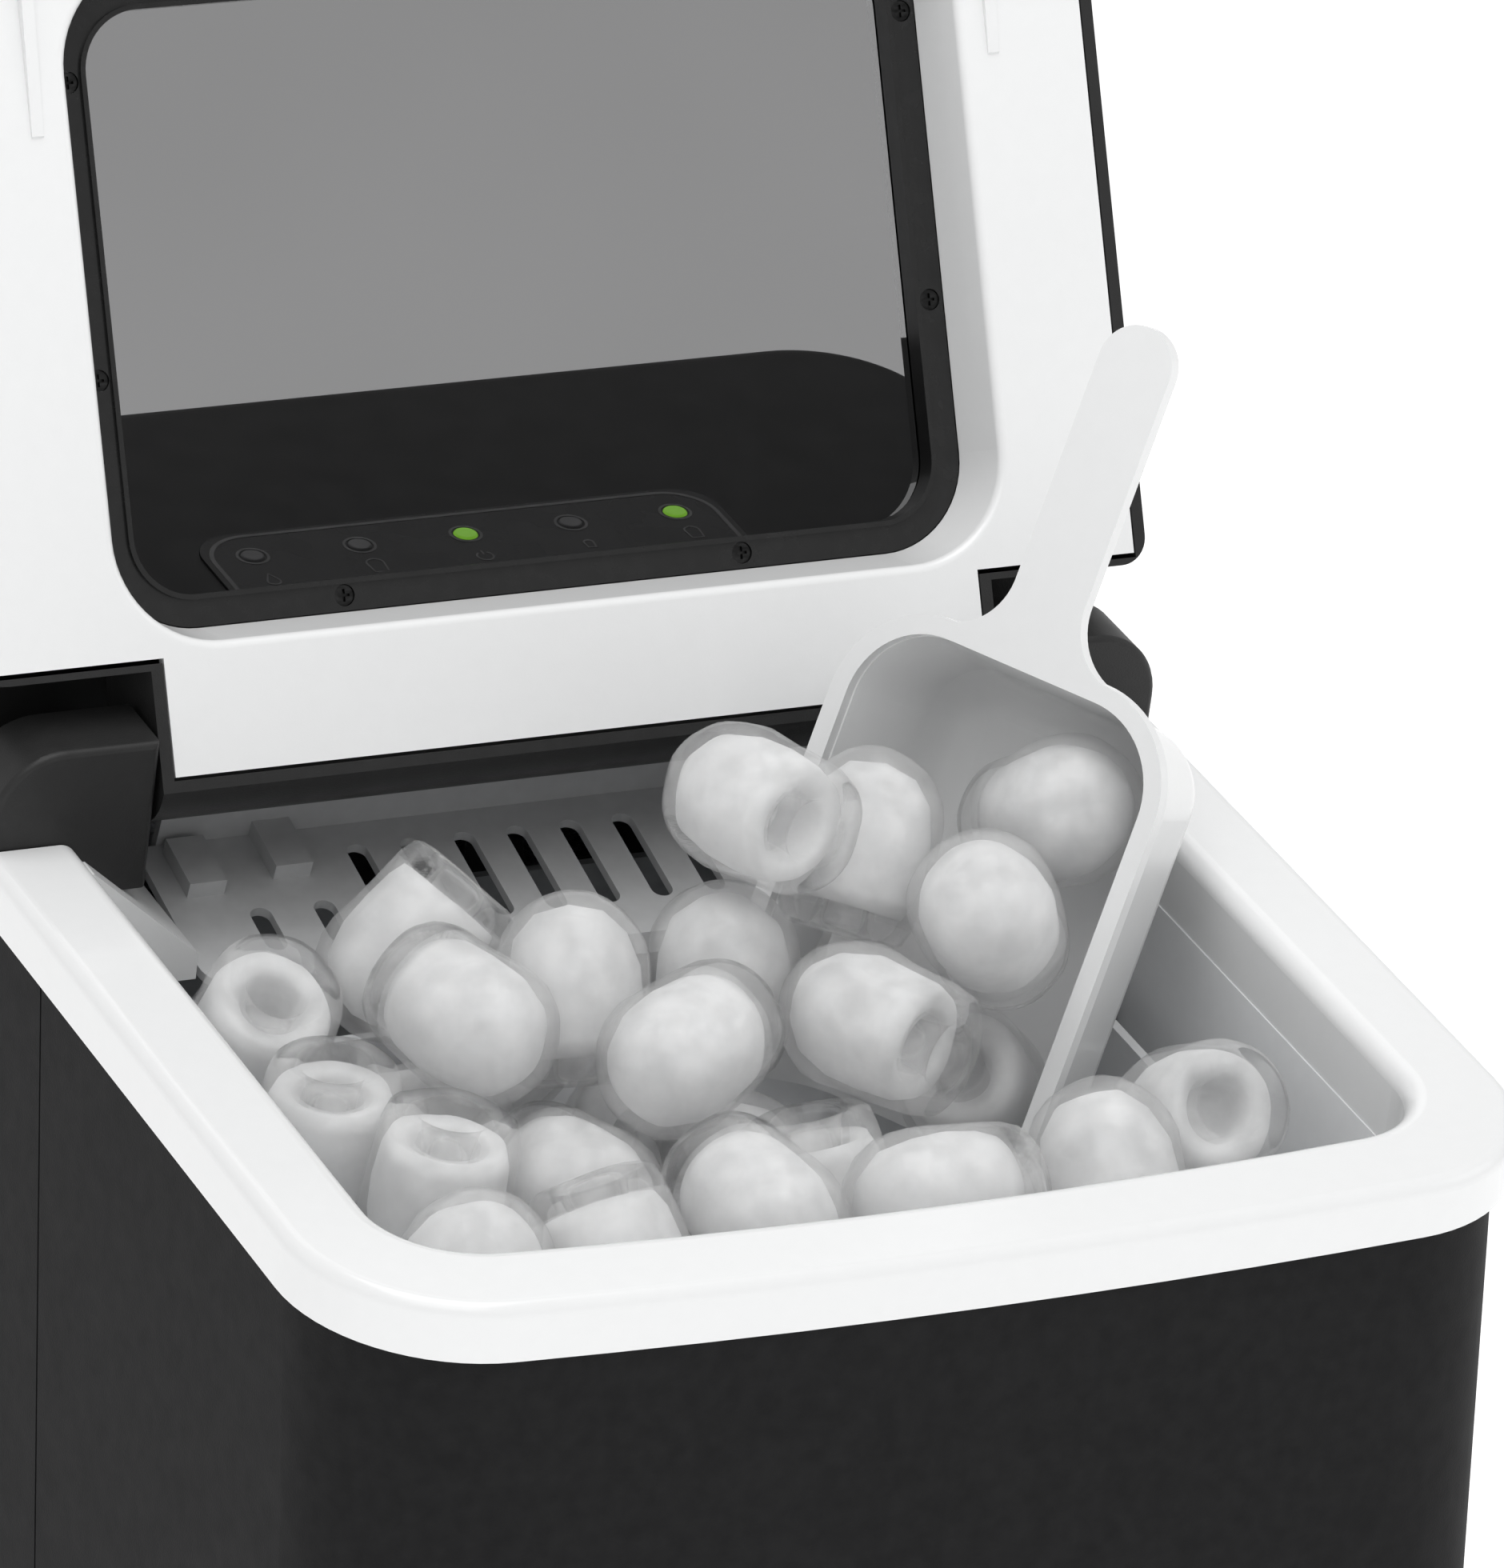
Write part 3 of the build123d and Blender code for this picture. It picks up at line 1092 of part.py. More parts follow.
def settle_ice():
    """Push the bullets apart until none touches another, a wall or the scoop's way out."""
    centres, ways, heap = starting_ice()
    frame = np.array([tuple(SCOOP.x_dir), tuple(SCOOP.y_dir), tuple(SCOOP.z_dir)])
    scoop_origin = np.array(tuple(SCOOP.origin))
    deck_axes = np.array([tuple(DECK.x_dir), tuple(DECK.y_dir), tuple(DECK.z_dir)])
    lift = np.array(tuple(SCOOP_LIFT))
    bowl_low = np.array([-SCOOP_HALF - 2.5, SCOOP_LOW - 1.5, -SCOOP_DEPTH - 1])
    bowl_high = np.array([SCOOP_HALF + 2.5, SCOOP_HIGH + 3, 2.5])
    inner = BASKET_HALF - BASKET_WALL - 1.2 - SPHERE
    hidden = 16
    for turn in range(2400):
        balls = centres[:, None, :] + ways[:, None, :] * SPHERE_STEPS[None, :, None]
        move = np.zeros_like(balls)
        count = np.zeros(balls.shape[:2])
        flat = balls.reshape(-1, 3)
        owner = np.repeat(np.arange(len(centres)), 3)
        gap = flat[:, None, :] - flat[None, :, :]
        # Seen from a heap bullet, a scooped one is everywhere on its way up.
        along = gap @ lift
        up = (owner[:, None] < heap) & (owner[None, :] >= heap) & (along > 0)
        gap = gap - np.where(up, along, 0)[..., None] * lift
        down = (owner[:, None] >= heap) & (owner[None, :] < heap) & (along < 0)
        gap = gap - np.where(down, along, 0)[..., None] * lift
        length = np.maximum(np.linalg.norm(gap, axis=-1), 1e-6)
        need = np.where(owner[:, None] == owner[None, :], 0, 2 * SPHERE - length)
        hit = need > 0
        shift = (gap / length[..., None] * np.where(hit, need, 0)[..., None]).sum(axis=1) * 0.45
        move += shift.reshape(balls.shape)
        count += hit.sum(axis=1).reshape(balls.shape[:2])
        step = move / np.maximum(count, 1)[..., None] ** 0.3
        # The scoop's bowl and its way out, for the heap; its walls, for the scooped ice.
        worst = np.zeros_like(balls[:heap])
        for rise in range(0, 80, 6):
            local = (balls[:heap] - lift * rise - scoop_origin) @ frame.T
            push = push_out_of_box(local, bowl_low, bowl_high) @ frame
            bigger = np.linalg.norm(push, axis=-1) > np.linalg.norm(worst, axis=-1)
            worst[bigger] = push[bigger]
        step[:heap] += worst * 0.5
        local = (balls[heap:] - scoop_origin) @ frame.T
        side = SCOOP_HALF - SCOOP_WALL - SPHERE - 0.5 + np.minimum(local[..., 2] - 8, 0) * 0.2
        kept = local.copy()
        in_bowl = local[..., 2] < 12
        kept[..., 0] = np.where(in_bowl, np.clip(local[..., 0], -side, side), local[..., 0])
        kept[..., 1] = np.clip(local[..., 1], SCOOP_LOW + 6, SCOOP_HIGH - SCOOP_WALL - SPHERE - 6)
        kept[..., 2] = np.maximum(local[..., 2], -SCOOP_DEPTH + SCOOP_WALL + SPHERE + 1)
        step[heap:] += (kept - local) @ frame * 0.8
        # Basket walls and floor, and the closed lid's underside.
        balls = balls + step
        heap_balls = balls[:heap]
        heap_balls[..., 0] = np.clip(heap_balls[..., 0], -inner, inner)
        heap_balls[..., 1] = np.clip(heap_balls[..., 1], BASKET_FRONT + BASKET_WALL + SPHERE + 1.2,
                                     BASKET_BACK - BASKET_WALL - SPHERE - 1.2)
        heap_balls[..., 2] = np.maximum(heap_balls[..., 2], BASKET_FLOOR + BASKET_WALL + SPHERE + 1)
        on_deck = (heap_balls - np.array(DECK_FRONT)) @ deck_axes.T
        near_rim = (np.abs(on_deck[..., 0]) > 74 - SPHERE) | (on_deck[..., 1] < 44 + SPHERE)
        ceiling = np.where(near_rim, -2.0, 7.0) - SPHERE
        over = np.maximum(on_deck[..., 2] - ceiling, 0)
        heap_balls -= over[..., None] * deck_axes[2]
        balls[:heap] = heap_balls
        centres = balls.mean(axis=1) - ways * SPHERE_STEPS.mean()
        ways = balls[:, 2] - balls[:, 0]
        ways /= np.linalg.norm(ways, axis=1)[:, None]
        # A bullet that finds no room is taken out, one from under the surface if it can be.
        if turn > 200 and turn % 24 == 0:
            tight = need.max(axis=1).reshape(len(centres), 3).max(axis=1)[:heap]
            tight = np.maximum(tight, np.linalg.norm(worst, axis=-1).max(axis=1))
            if tight.max() < TOUCH:
                break
            tight[:hidden] *= 2.5
            out = int(tight.argmax())
            centres, ways = np.delete(centres, out, axis=0), np.delete(ways, out, axis=0)
            heap -= 1
            hidden -= out < hidden
    print("settled after", turn, "turns, tightest", round(float(tight.max()), 2))
    return centres, ways, heap


with BuildPart(mode=Mode.PRIVATE) as bullet:
    with Locations((0, 0, -BULLET_RADIUS / 2)):
        Cone(11.6, BULLET_RADIUS, BULLET_LENGTH - BULLET_RADIUS)
    fillet(bullet.edges().group_by(Axis.Z)[0], 3.5)
    with Locations((0, 0, BULLET_LENGTH / 2 - BULLET_RADIUS)):
        Sphere(BULLET_RADIUS)

ICE_CENTRES, ICE_WAYS, HEAP_COUNT = settle_ice()
ICE = [bullet.part.solid().moved(Plane(origin=tuple(c), z_dir=tuple(w)).location)
       for c, w in zip(ICE_CENTRES, ICE_WAYS)]
for name, pieces in (("ice_heap", ICE[:HEAP_COUNT]), ("scooped_ice", ICE[HEAP_COUNT:])):
    print(name, len(pieces), "bullets")
    finish_piece(Compound(children=pieces), name)
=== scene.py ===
"""Countertop ice maker: materials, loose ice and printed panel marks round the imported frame."""
import math

import bmesh
import bpy
import numpy as np
from mathutils import Matrix, Vector, noise


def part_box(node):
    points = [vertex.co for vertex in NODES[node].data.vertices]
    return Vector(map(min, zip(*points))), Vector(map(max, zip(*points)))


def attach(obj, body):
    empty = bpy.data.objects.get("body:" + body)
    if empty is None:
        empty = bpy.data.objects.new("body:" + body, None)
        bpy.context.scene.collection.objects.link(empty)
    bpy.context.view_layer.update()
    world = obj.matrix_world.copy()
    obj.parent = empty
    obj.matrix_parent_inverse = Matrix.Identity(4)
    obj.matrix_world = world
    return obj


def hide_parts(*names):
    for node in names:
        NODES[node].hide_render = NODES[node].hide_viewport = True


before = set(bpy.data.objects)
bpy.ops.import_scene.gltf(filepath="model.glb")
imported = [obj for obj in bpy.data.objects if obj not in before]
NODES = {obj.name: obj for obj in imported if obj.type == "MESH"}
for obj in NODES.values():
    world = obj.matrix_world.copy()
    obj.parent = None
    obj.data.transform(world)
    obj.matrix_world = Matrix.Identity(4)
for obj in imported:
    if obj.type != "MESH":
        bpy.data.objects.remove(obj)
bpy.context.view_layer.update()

# ---------------------------------------------------------------- the deck frame, in metres
DECK_SLOPE = math.radians(10.58)
DECK_ORIGIN = Vector((0, -0.136, 0.224))
DECK_Y = Vector((0, math.cos(DECK_SLOPE), math.sin(DECK_SLOPE)))
DECK_Z = Vector((0, -math.sin(DECK_SLOPE), math.cos(DECK_SLOPE)))
PANEL_TOP = 0.0201            # printed face of the control panel above the deck
PANEL_EDGE = 0.0015           # from the panel's side to the printed border
BORDER_FRONT, BORDER_BACK, BORDER_RADIUS = 0.1925, 0.2212, 0.0085
LAMP_PITCH, LAMP_Y, LAMP_RING = 0.0204, 0.2138, 0.0028
PICTURE_Y = 0.2052
BORDER_LINE, RING_LINE, PICTURE_LINE = 0.0008, 0.0005, 0.00035


def deck(x, y, z):
    """World point of a deck-frame point."""
    return DECK_ORIGIN + Vector((x, 0, 0)) + DECK_Y * y + DECK_Z * z


# ---------------------------------------------------------------- materials
class Shader:
    """A node material with short calls for its usual nodes."""

    def __init__(self, name, **sockets):
        self.material = bpy.data.materials.new(name)
        self.material.use_nodes = True
        self.tree = self.material.node_tree
        self.bsdf = self.tree.nodes["Principled BSDF"]
        for socket, value in sockets.items():
            self.bsdf.inputs[socket.replace("_", " ")].default_value = value
        self.where = self.tree.nodes.new("ShaderNodeTexCoord").outputs["Object"]

    def node(self, kind, **values):
        new = self.tree.nodes.new(kind)
        for key, value in values.items():
            setattr(new, key, value)
        return new

    def link(self, a, b):
        self.tree.links.new(a, b)

    def noise(self, scale, detail=3.0, stretch=None):
        where = self.where
        if stretch:
            mapping = self.node("ShaderNodeMapping")
            mapping.inputs["Scale"].default_value = stretch
            self.link(where, mapping.inputs["Vector"])
            where = mapping.outputs["Vector"]
        texture = self.node("ShaderNodeTexNoise")
        texture.inputs["Scale"].default_value = scale
        texture.inputs["Detail"].default_value = detail
        self.link(where, texture.inputs["Vector"])
        return texture.outputs["Fac"]

    def spread(self, value, low, high, start=0.3, end=0.7):
        ranged = self.node("ShaderNodeMapRange")
        for socket, number in (("From Min", start), ("From Max", end),
                               ("To Min", low), ("To Max", high)):
            ranged.inputs[socket].default_value = number
        self.link(value, ranged.inputs["Value"])
        return ranged.outputs["Result"]

    def tint(self, value, dark, light, start=0.3, end=0.7):
        ramp = self.node("ShaderNodeValToRGB")
        ramp.color_ramp.elements[0].position = start
        ramp.color_ramp.elements[1].position = end
        ramp.color_ramp.elements[0].color = (*dark, 1)
        ramp.color_ramp.elements[1].color = (*light, 1)
        self.link(value, ramp.inputs["Fac"])
        self.link(ramp.outputs["Color"], self.bsdf.inputs["Base Color"])

    def roughen(self, value, low, high):
        self.link(self.spread(value, low, high), self.bsdf.inputs["Roughness"])

    def bump(self, height, strength, distance):
        bump = self.node("ShaderNodeBump")
        bump.inputs["Strength"].default_value = strength
        bump.inputs["Distance"].default_value = distance
        self.link(height, bump.inputs["Height"])
        self.link(bump.outputs["Normal"], self.bsdf.inputs["Normal"])


def plastic(name, dark, light, rough, grain, strength, coat=0.0, specular=0.5):
    """Moulded plastic: slight colour drift, uneven gloss and a fine grain."""
    shader = Shader(name, Coat_Weight=coat, Coat_Roughness=0.08, Specular_IOR_Level=specular)
    drift = shader.noise(300, 3)
    shader.tint(drift, dark, light)
    shader.roughen(shader.noise(130, 2), rough[0], rough[1])
    shader.bump(shader.noise(grain, 2), strength, 0.0002)
    return shader.material


def metal(name, dark, light, rough, stretch):
    """Brushed or drawn metal with fine directional streaks."""
    shader = Shader(name, Metallic=1.0)
    streaks = shader.noise(400, 3, stretch)
    shader.tint(streaks, dark, light)
    shader.roughen(streaks, rough[0], rough[1])
    shader.bump(streaks, 0.12, 0.0001)
    return shader.material


def smoke_glass():
    """The lid's smoked window: clear, dark grey, with a faint uneven tint."""
    shader = Shader("smoke window", Transmission_Weight=1.0, IOR=1.1, Roughness=0.0)
    shader.tint(shader.noise(20, 1), (0.222, 0.222, 0.224), (0.23, 0.23, 0.232))
    return shader.material


def ice_shell():
    """The clear skin of a bullet: glassy, with a melted surface."""
    shader = Shader("ice shell", IOR=1.31, Base_Color=(1, 1, 1, 1), Specular_IOR_Level=0.6, Alpha=0.42)
    shader.link(shader.spread(shader.noise(140, 4), 1.0, 0.72, 0.4, 0.7),
                shader.bsdf.inputs["Transmission Weight"])
    shader.roughen(shader.noise(260, 3), 0.02, 0.12)
    shader.bump(shader.noise(420, 4), 0.16, 0.0004)
    return shader.material


def ice_core():
    """The milky middle of a bullet, full of fine trapped air."""
    shader = Shader("ice core", IOR=1.05, Specular_IOR_Level=0.2, Alpha=0.8)
    shader.tint(shader.noise(240, 4), (0.97, 0.975, 0.98), (1.0, 1.0, 1.0))
    shader.link(shader.spread(shader.noise(180, 4), 0.3, 0.04, 0.35, 0.65),
                shader.bsdf.inputs["Transmission Weight"])
    shader.roughen(shader.noise(500, 3), 0.4, 0.7)
    return shader.material


def glowing(name, colour, strength):
    """A lit light pipe whose base colour drifts a little at random."""
    shader = Shader(name, Roughness=0.25, Emission_Strength=strength)
    shader.tint(shader.noise(900, 2), [c * 0.8 for c in colour], colour)
    shader.bsdf.inputs["Emission Color"].default_value = (*colour, 1)
    return shader.material


def give(material, *names):
    """Assign a material to CAD nodes."""
    for name in names:
        node = NODES[name]
        if not node.material_slots:
            node.data.materials.append(material)
        for slot in node.material_slots:
            slot.material = material


WHITE = plastic("white gloss", (0.83, 0.835, 0.837), (0.84, 0.845, 0.847),
                (0.25, 0.26), 2400, 0.04, 0.3)
LINER = plastic("grey liner", (0.86, 0.87, 0.88), (0.88, 0.89, 0.90), (0.3, 0.42), 700, 0.05)
HOUSING = plastic("black housing", (0.014, 0.014, 0.0145), (0.018, 0.018, 0.0185),
                  (0.6, 0.64), 2600, 0.3, 0.0, 0.05)
SATIN = plastic("black satin", (0.019, 0.019, 0.019), (0.022, 0.022, 0.022),
                (0.4, 0.46), 3200, 0.2, 0.0, 0.28)
PANEL = plastic("panel black", (0.017, 0.017, 0.018), (0.022, 0.022, 0.023),
                (0.24, 0.3), 2200, 0.06, 0.0, 0.3)
FRAME = plastic("window frame black", (0.010, 0.010, 0.010), (0.014, 0.014, 0.014),
                (0.18, 0.24), 900, 0.04, 0.1, 0.4)
SHOVEL_WHITE = plastic("shovel white", (0.56, 0.565, 0.57), (0.6, 0.605, 0.61),
                       (0.35, 0.42), 500, 0.03)
GREY = plastic("grey plastic", (0.30, 0.31, 0.32), (0.36, 0.37, 0.38), (0.4, 0.5), 900, 0.1)
RUBBER = plastic("black rubber", (0.012, 0.012, 0.012), (0.02, 0.02, 0.02), (0.7, 0.85), 1500, 0.3)
FOAM = plastic("insulation foam", (0.78, 0.77, 0.70), (0.88, 0.87, 0.82), (0.8, 0.95), 500, 0.8)
HOSE = plastic("silicone hose", (0.72, 0.72, 0.69), (0.8, 0.8, 0.77), (0.3, 0.4), 500, 0.05)
BOARD = plastic("circuit board", (0.01, 0.10, 0.04), (0.015, 0.14, 0.06),
                (0.3, 0.45), 1200, 0.2, 0.3)
PRINT = plastic("panel print", (0.34, 0.34, 0.34), (0.4, 0.4, 0.4), (0.45, 0.55), 2600, 0.1)
UNLIT = plastic("unlit lens", (0.20, 0.20, 0.205), (0.25, 0.25, 0.255),
                (0.25, 0.35), 1200, 0.08, 0.2)
ENAMEL = plastic("compressor enamel", (0.012, 0.012, 0.013), (0.02, 0.02, 0.021),
                 (0.2, 0.32), 180, 0.15, 0.4)
STEEL = metal("steel", (0.42, 0.42, 0.43), (0.62, 0.62, 0.63), (0.22, 0.36), (1, 1, 14))
ALUMINIUM = metal("aluminium", (0.62, 0.62, 0.63), (0.78, 0.78, 0.79), (0.3, 0.42), (14, 1, 1))
COPPER = metal("copper", (0.55, 0.24, 0.12), (0.78, 0.40, 0.24), (0.22, 0.36), (1, 1, 9))
BLACK_STEEL = metal("blackened screw", (0.02, 0.02, 0.02), (0.05, 0.05, 0.05), (0.3, 0.45), (1, 9, 1))
LIT = glowing("lit lens", (0.32, 0.75, 0.06), 1.4)
SMOKE = smoke_glass()
ICE = ice_shell()
ICE_CORE = ice_core()

give(WHITE, "top_frame", "lid_liner", "scoop")
give(LINER, "ice_tub", "basket")
give(HOUSING, "front_wrap", "rear_shell", "base_tray")
give(SATIN, "rear_top_cover", "lid_shell", "fan_shroud", "fan_blade", "water_pump", "ice_sensors")
give(PANEL, "control_panel", "power_button", "select_button")
give(FRAME, "window_frame")
give(SHOVEL_WHITE, "ice_shovel")
give(GREY, "water_tray", "tray_gearmotor", "tray_bearing", "shovel_brackets")
give(RUBBER, "feet", "cord_gland", "drain_cap", "compressor_grommets")
give(FOAM, "foam_insulation")
give(HOSE, "water_hose")
give(BOARD, "control_board", "power_board")
give(UNLIT, "indicators_unlit")
give(LIT, "indicators_lit")
give(ENAMEL, "compressor")
give(STEEL, "hinge_pins", "evaporator_fingers", "fan_motor")
give(ALUMINIUM, "evaporator", "condenser")
give(COPPER, "refrigerant_tubes", "filter_drier")
give(BLACK_STEEL, "window_screws", "rear_screws")
give(SMOKE, "window_pane")


# ---------------------------------------------------------------- new pieces
def add_piece(name, bm, material, body, smooth=True):
    """Turn a bmesh into a piece that rides on a body."""
    bmesh.ops.recalc_face_normals(bm, faces=bm.faces)
    mesh = bpy.data.meshes.new(name)
    bm.to_mesh(mesh)
    bm.free()
    mesh.materials.append(material)
    for face in mesh.polygons:
        face.use_smooth = smooth
    piece = bpy.data.objects.new(name, mesh)
    bpy.context.scene.collection.objects.link(piece)
    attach(piece, body)
    return piece


def loose_solids(node):
    """The vertices of each separate solid in a CAD node, as arrays."""
    bm = bmesh.new()
    bm.from_mesh(NODES[node].data)
    bmesh.ops.remove_doubles(bm, verts=bm.verts, dist=1e-6)
    found, solids = set(), []
    for start in bm.verts:
        if start in found:
            continue
        found.add(start)
        queue, solid = [start], []
        while queue:
            vertex = queue.pop()
            solid.append(vertex.co.copy())
            for edge in vertex.link_edges:
                other = edge.other_vert(vertex)
                if other not in found:
                    found.add(other)
                    queue.append(other)
        solids.append(np.array(solid))
    bm.free()
    return solids


def bullet_axis(points):
    """A bullet's middle, direction towards its dome, length and radius, from its vertices."""
    middle = points.mean(axis=0)
    values, vectors = np.linalg.eigh(np.cov((points - middle).T))
    odd_one = 2 if abs(values[0] - values[1]) < abs(values[1] - values[2]) else 0
    way = vectors[:, odd_one]
    along = (points - middle) @ way
    low, high = along.min(), along.max()
    across = np.linalg.norm((points - middle) - along[:, None] * way, axis=1)
    low_width = across[along < low + 0.0004].mean()
    high_width = across[along > high - 0.0004].mean()
    if low_width < high_width:
        way, low, high = -way, -high, -low
    return Vector(middle + way * (low + high) / 2), Vector(way), high - low, across.max()


BULLET_SIDES = 36


def bullet_profiles(length, radius, seed):
    """Sections of the skin and of the milky core, each from its bottom middle to its top middle."""
    half = length / 2
    hole = 0.0042 + 0.0011 * noise.noise(Vector((seed, 1.3, 0)))
    depth = length * (0.5 + 0.12 * noise.noise(Vector((seed, 4.1, 0))))
    top = -half + depth
    skin = [(0.0, top)]
    skin += [(hole * math.sin(a), top - hole * (1 - math.cos(a))) for a in (0.5, 1.0, 1.5)]
    skin += [(hole * 1.05, -half + depth * 0.4), (hole * 1.25, -half + 0.002)]
    skin += [(hole * 1.6, -half + 0.0004), (radius * 0.74, -half)]
    skin += [(radius * 0.84, -half + 0.0008), (radius * 0.90, -half + 0.0034)]
    skin += [(radius * (0.91 + 0.09 * t), -half + 0.0034 + (length - radius - 0.0034) * t)
             for t in (0.2, 0.4, 0.6, 0.8, 1.0)]
    skin += [(radius * math.cos(a), half - radius + radius * math.sin(a))
             for a in (0.25, 0.5, 0.75, 1.0, 1.22, 1.4)]
    skin.append((0.0, half))
    gap = 0.0009
    core = [(0.0, top + gap)]
    core += [((hole + gap) * math.sin(a), top + gap - (hole + gap) * (1 - math.cos(a)))
             for a in (0.6, 1.1, 1.5)]
    core += [(hole * 1.15 + gap, -half + 0.0062), (radius * 0.74, -half + 0.0050)]
    core += [(radius * w, -half + length * h)
             for w, h in ((0.83, 0.24), (0.87, 0.40), (0.86, 0.58), (0.74, 0.76), (0.46, 0.88))]
    core.append((0.0, -half + length * 0.92))
    return skin, core


def melt(point, seed):
    """Small uneven swellings and dents of half-melted ice."""
    slow = noise.noise(point * 120 + Vector((seed * 7.7, 0, 0)))
    fast = noise.noise(point * 420 + Vector((0, seed * 3.1, 0)))
    return slow * 0.0006 + fast * 0.00012


def add_revolved(bm, profile, middle, turn, seed, material):
    """A closed melted surface turned from a section, set at `middle`."""
    rings = []
    for r, z in profile:
        if r == 0.0:
            rings.append([bm.verts.new(middle + turn @ Vector((0, 0, z)))])
            continue
        ring = []
        for side in range(BULLET_SIDES):
            angle = 2 * math.pi * side / BULLET_SIDES
            spot = Vector((r * math.cos(angle), r * math.sin(angle), z))
            out = Vector((spot.x, spot.y, z * 0.3)).normalized()
            spot += out * min(melt(spot, seed), 0.0002)
            ring.append(bm.verts.new(middle + turn @ spot))
        rings.append(ring)
    for a, b in zip(rings, rings[1:]):
        for side in range(BULLET_SIDES):
            after = (side + 1) % BULLET_SIDES
            corners = [a[side % len(a)], a[after % len(a)], b[after % len(b)], b[side % len(b)]]
            bm.faces.new(list(dict.fromkeys(corners))).material_index = material


def make_ice(node, body):
    """Every bullet of a CAD ice node as a hollow clear bullet with a milky core."""
    bm = bmesh.new()
    for number, points in enumerate(loose_solids(node)):
        middle, way, length, radius = bullet_axis(points)
        seed = number + len(node) * 0.37
        turn = way.to_track_quat("Z", "Y").to_matrix()
        skin, core = bullet_profiles(length, radius * 0.985, seed)
        add_revolved(bm, skin, middle, turn, seed, 0)
        add_revolved(bm, core, middle, turn, seed, 1)
    piece = add_piece(node + "_bullets", bm, ICE, body)
    piece.data.materials.append(ICE_CORE)
    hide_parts(node)


make_ice("ice_heap", "basket_load")
make_ice("scooped_ice", "scoop_load")


# ---------------------------------------------------------------- printed marks
def stroke(bm, points, width, closed=False, height=0.00006):
    """A thin raised ribbon along deck-plane points (x, y), on the control panel."""
    count = len(points)
    left, right = [], []
    for i, (x, y) in enumerate(points):
        before = points[(i - 1) % count] if closed or i else points[i]
        after = points[(i + 1) % count] if closed or i < count - 1 else points[i]
        along = Vector((after[0] - before[0], after[1] - before[1])).normalized()
        side = Vector((-along.y, along.x)) * width / 2
        left.append((x + side.x, y + side.y))
        right.append((x - side.x, y - side.y))
    levels = [[bm.verts.new(deck(x, y, z)) for x, y in edge]
              for edge in (left, right) for z in (PANEL_TOP, PANEL_TOP + height)]
    low_l, top_l, low_r, top_r = levels
    for i in range(count if closed else count - 1):
        j = (i + 1) % count
        bm.faces.new((top_l[i], top_l[j], top_r[j], top_r[i]))
        bm.faces.new((low_l[i], low_l[j], top_l[j], top_l[i]))
        bm.faces.new((low_r[j], low_r[i], top_r[i], top_r[j]))
        bm.faces.new((low_l[j], low_l[i], low_r[i], low_r[j]))


def arc(x, y, radius, start, end, steps=20):
    """Points on an arc, angles in degrees."""
    turns = [math.radians(start + (end - start) * i / steps) for i in range(steps + 1)]
    return [(x + radius * math.cos(t), y + radius * math.sin(t)) for t in turns]


def drop(x, y, size):
    """The outline of a water drop."""
    round_part = arc(x, y, size, -215, 35, 18)
    return round_part + [(x, y + size * 2.4)]


def panel_marks():
    """Panel border, rings round the indicators and one small picture under each."""
    bm = bmesh.new()
    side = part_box("control_panel")[1].x - PANEL_EDGE
    turn = BORDER_RADIUS
    border = [(-side, BORDER_FRONT)] + arc(-side + turn, BORDER_BACK - turn, turn, 180, 90, 10)
    border += arc(side - turn, BORDER_BACK - turn, turn, 90, 0, 10) + [(side, BORDER_FRONT)]
    stroke(bm, border, BORDER_LINE)
    for i in range(5):
        ring = arc((i - 2) * LAMP_PITCH, LAMP_Y, LAMP_RING, 0, 360, 28)[:-1]
        stroke(bm, ring, RING_LINE, closed=True)
    y, line = PICTURE_Y, PICTURE_LINE
    stroke(bm, drop(-2 * LAMP_PITCH, y - 0.001, 0.0012), line, closed=True)
    for place, size in ((-1, 0.0016), (1, 0.0009), (2, 0.0014)):
        x = place * LAMP_PITCH
        basket = [(x - size, y + size), (x - size * 0.8, y - size), (x + size * 0.8, y - size),
                  (x + size, y + size)]
        stroke(bm, basket, line)
        stroke(bm, arc(x, y + size, size, 0, 180, 10), line)
    stroke(bm, arc(0, y, 0.0015, 120, 420, 20), line)
    stroke(bm, [(0, y + 0.0006), (0, y + 0.0021)], line)
    add_piece("panel_print", bm, PRINT, "machine", smooth=False)


panel_marks()


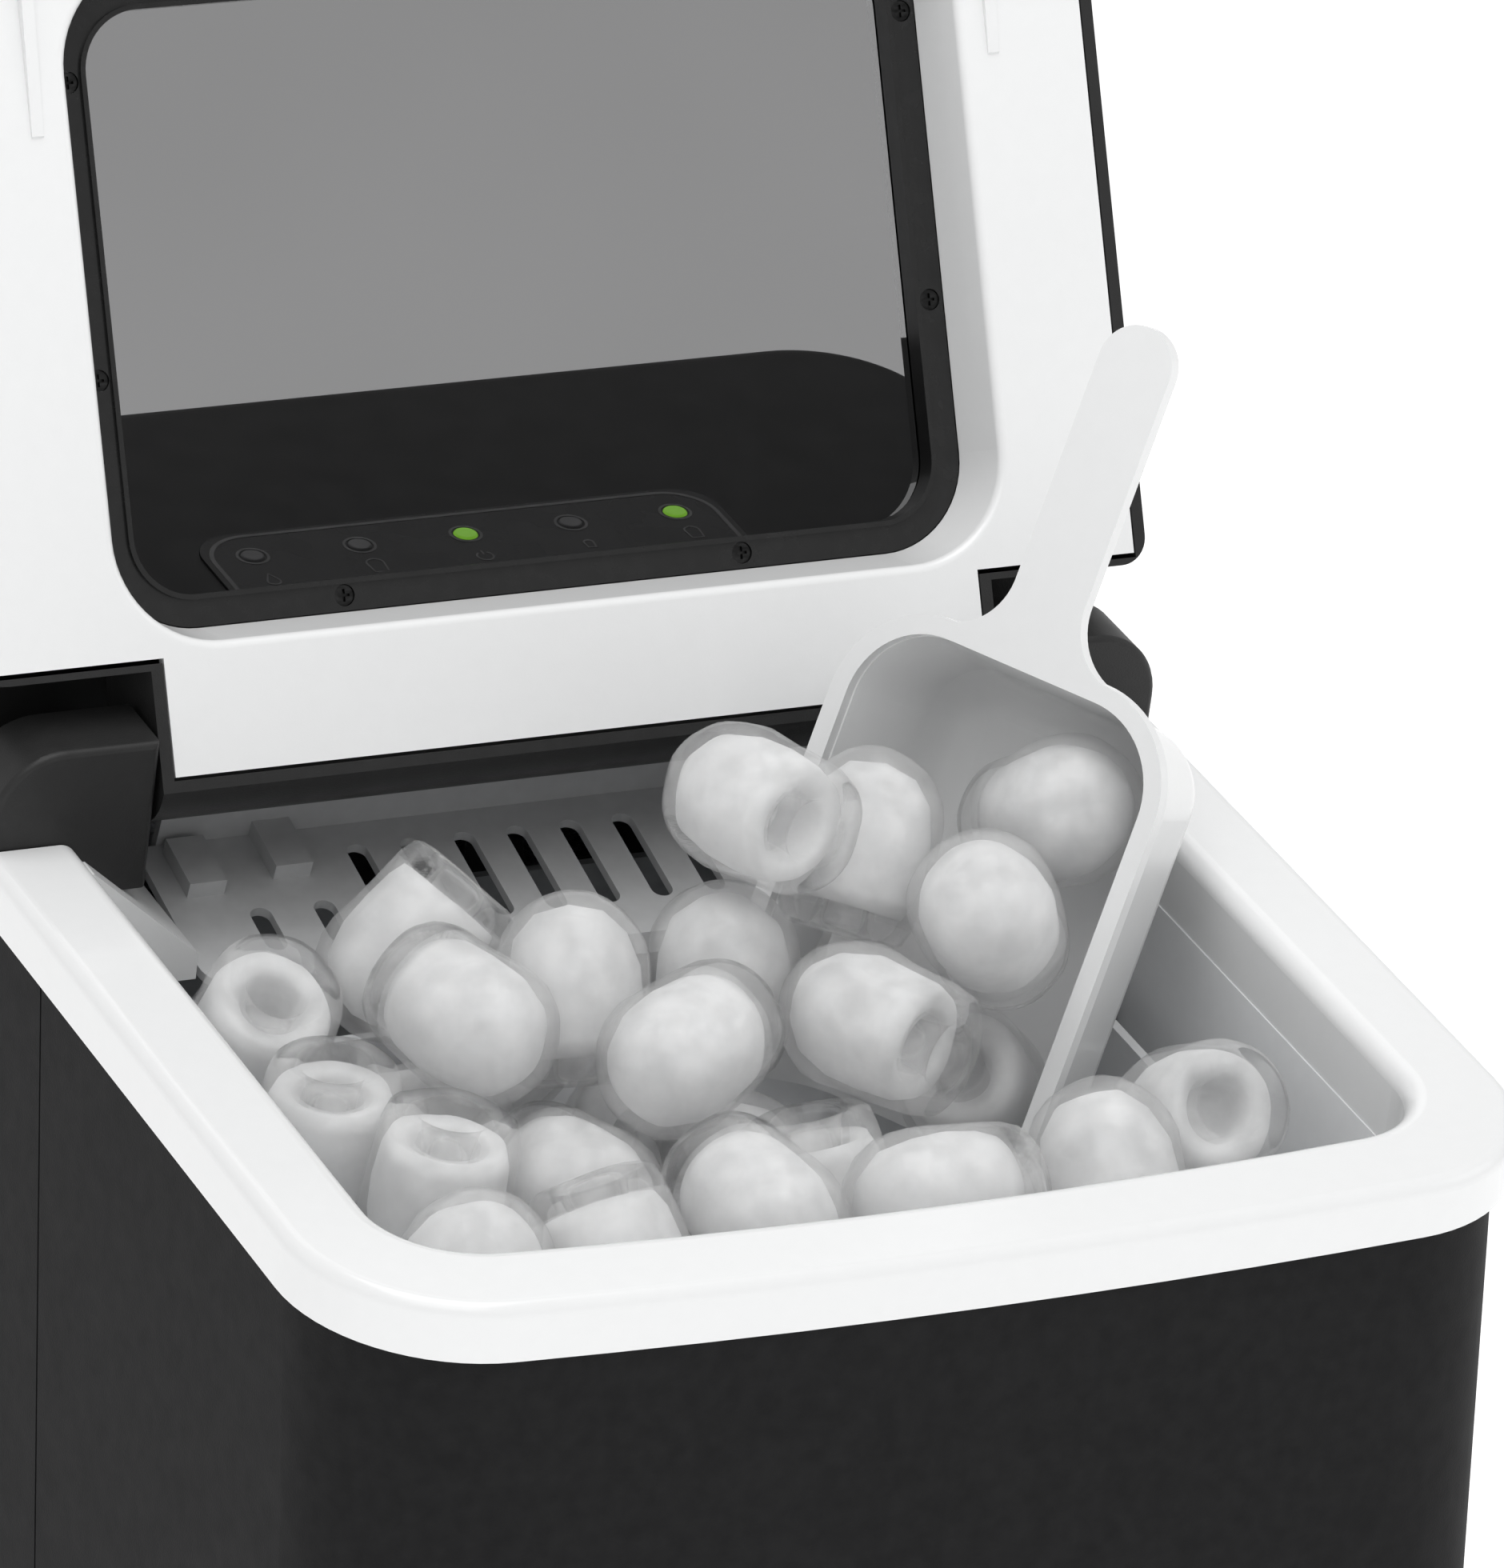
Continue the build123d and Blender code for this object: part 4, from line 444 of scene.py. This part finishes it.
# ---------------------------------------------------------------- studio
CAMERA_SPOT = (-0.8611, -1.7683, 0.9105)
CAMERA_RIGHT = (0.89920, -0.43588, 0.03814)
CAMERA_UP = (0.10484, 0.29928, 0.94836)
FLOOR_HALF = 60
LIGHTS = (("key", (-0.45, -1.0, 1.7), (0, 0, 0.2), 1.2, 7),
          ("overhead", (-0.05, -0.15, 1.5), (0, -0.05, 0.2), 0.8, 6),
          ("right fill", (1.6, -0.7, 0.9), (0, 0, 0.2), 1.0, 2.5),
          ("back", (0.3, 1.3, 1.5), (0, 0, 0.2), 1.2, 3))


def floor():
    """A wide pale floor, flat so that every side of the machine can be viewed."""
    bm = bmesh.new()
    bmesh.ops.create_grid(bm, x_segments=4, y_segments=4, size=FLOOR_HALF)
    mesh = bpy.data.meshes.new("floor")
    bm.to_mesh(mesh)
    bm.free()
    shader = Shader("studio floor", Roughness=0.9, Emission_Strength=0.45)
    shader.bsdf.inputs["Emission Color"].default_value = (1, 1, 1, 1)
    shader.tint(shader.noise(2, 1), (0.90, 0.90, 0.90), (0.92, 0.92, 0.92))
    mesh.materials.append(shader.material)
    ground = bpy.data.objects.new("floor", mesh)
    bpy.context.scene.collection.objects.link(ground)


def area_light(name, place, target, size, power):
    """A soft square light aimed at a point."""
    light = bpy.data.lights.new(name, "AREA")
    light.size = size
    light.energy = power
    lamp = bpy.data.objects.new(name, light)
    lamp.location = place
    lamp.rotation_euler = (Vector(target) - Vector(place)).to_track_quat("-Z", "Y").to_euler()
    bpy.context.scene.collection.objects.link(lamp)


def studio():
    """Soft white surroundings with a key, an overhead light, a fill and a back light."""
    floor()
    for light in LIGHTS:
        area_light(*light)
    world = bpy.data.worlds.new("studio")
    world.use_nodes = True
    background = world.node_tree.nodes["Background"]
    background.inputs["Color"].default_value = (1, 1, 1, 1)
    background.inputs["Strength"].default_value = 0.56
    bpy.context.scene.world = world
    bpy.context.scene.view_settings.view_transform = "Standard"


def camera():
    """A long lens at the front left, a little above, rolled slightly."""
    right = Vector(CAMERA_RIGHT).normalized()
    back = right.cross(Vector(CAMERA_UP)).normalized()
    up = back.cross(right)
    data = bpy.data.cameras.new("camera")
    data.lens = 277.4
    data.sensor_width = 36
    data.shift_x, data.shift_y = -0.0020, 0.0056
    data.clip_start = 0.05
    eye = bpy.data.objects.new("camera", data)
    turn = Matrix((right, up, back)).transposed()
    eye.matrix_world = Matrix.Translation(Vector(CAMERA_SPOT)) @ turn.to_4x4()
    bpy.context.scene.collection.objects.link(eye)
    bpy.context.scene.camera = eye


studio()
camera()
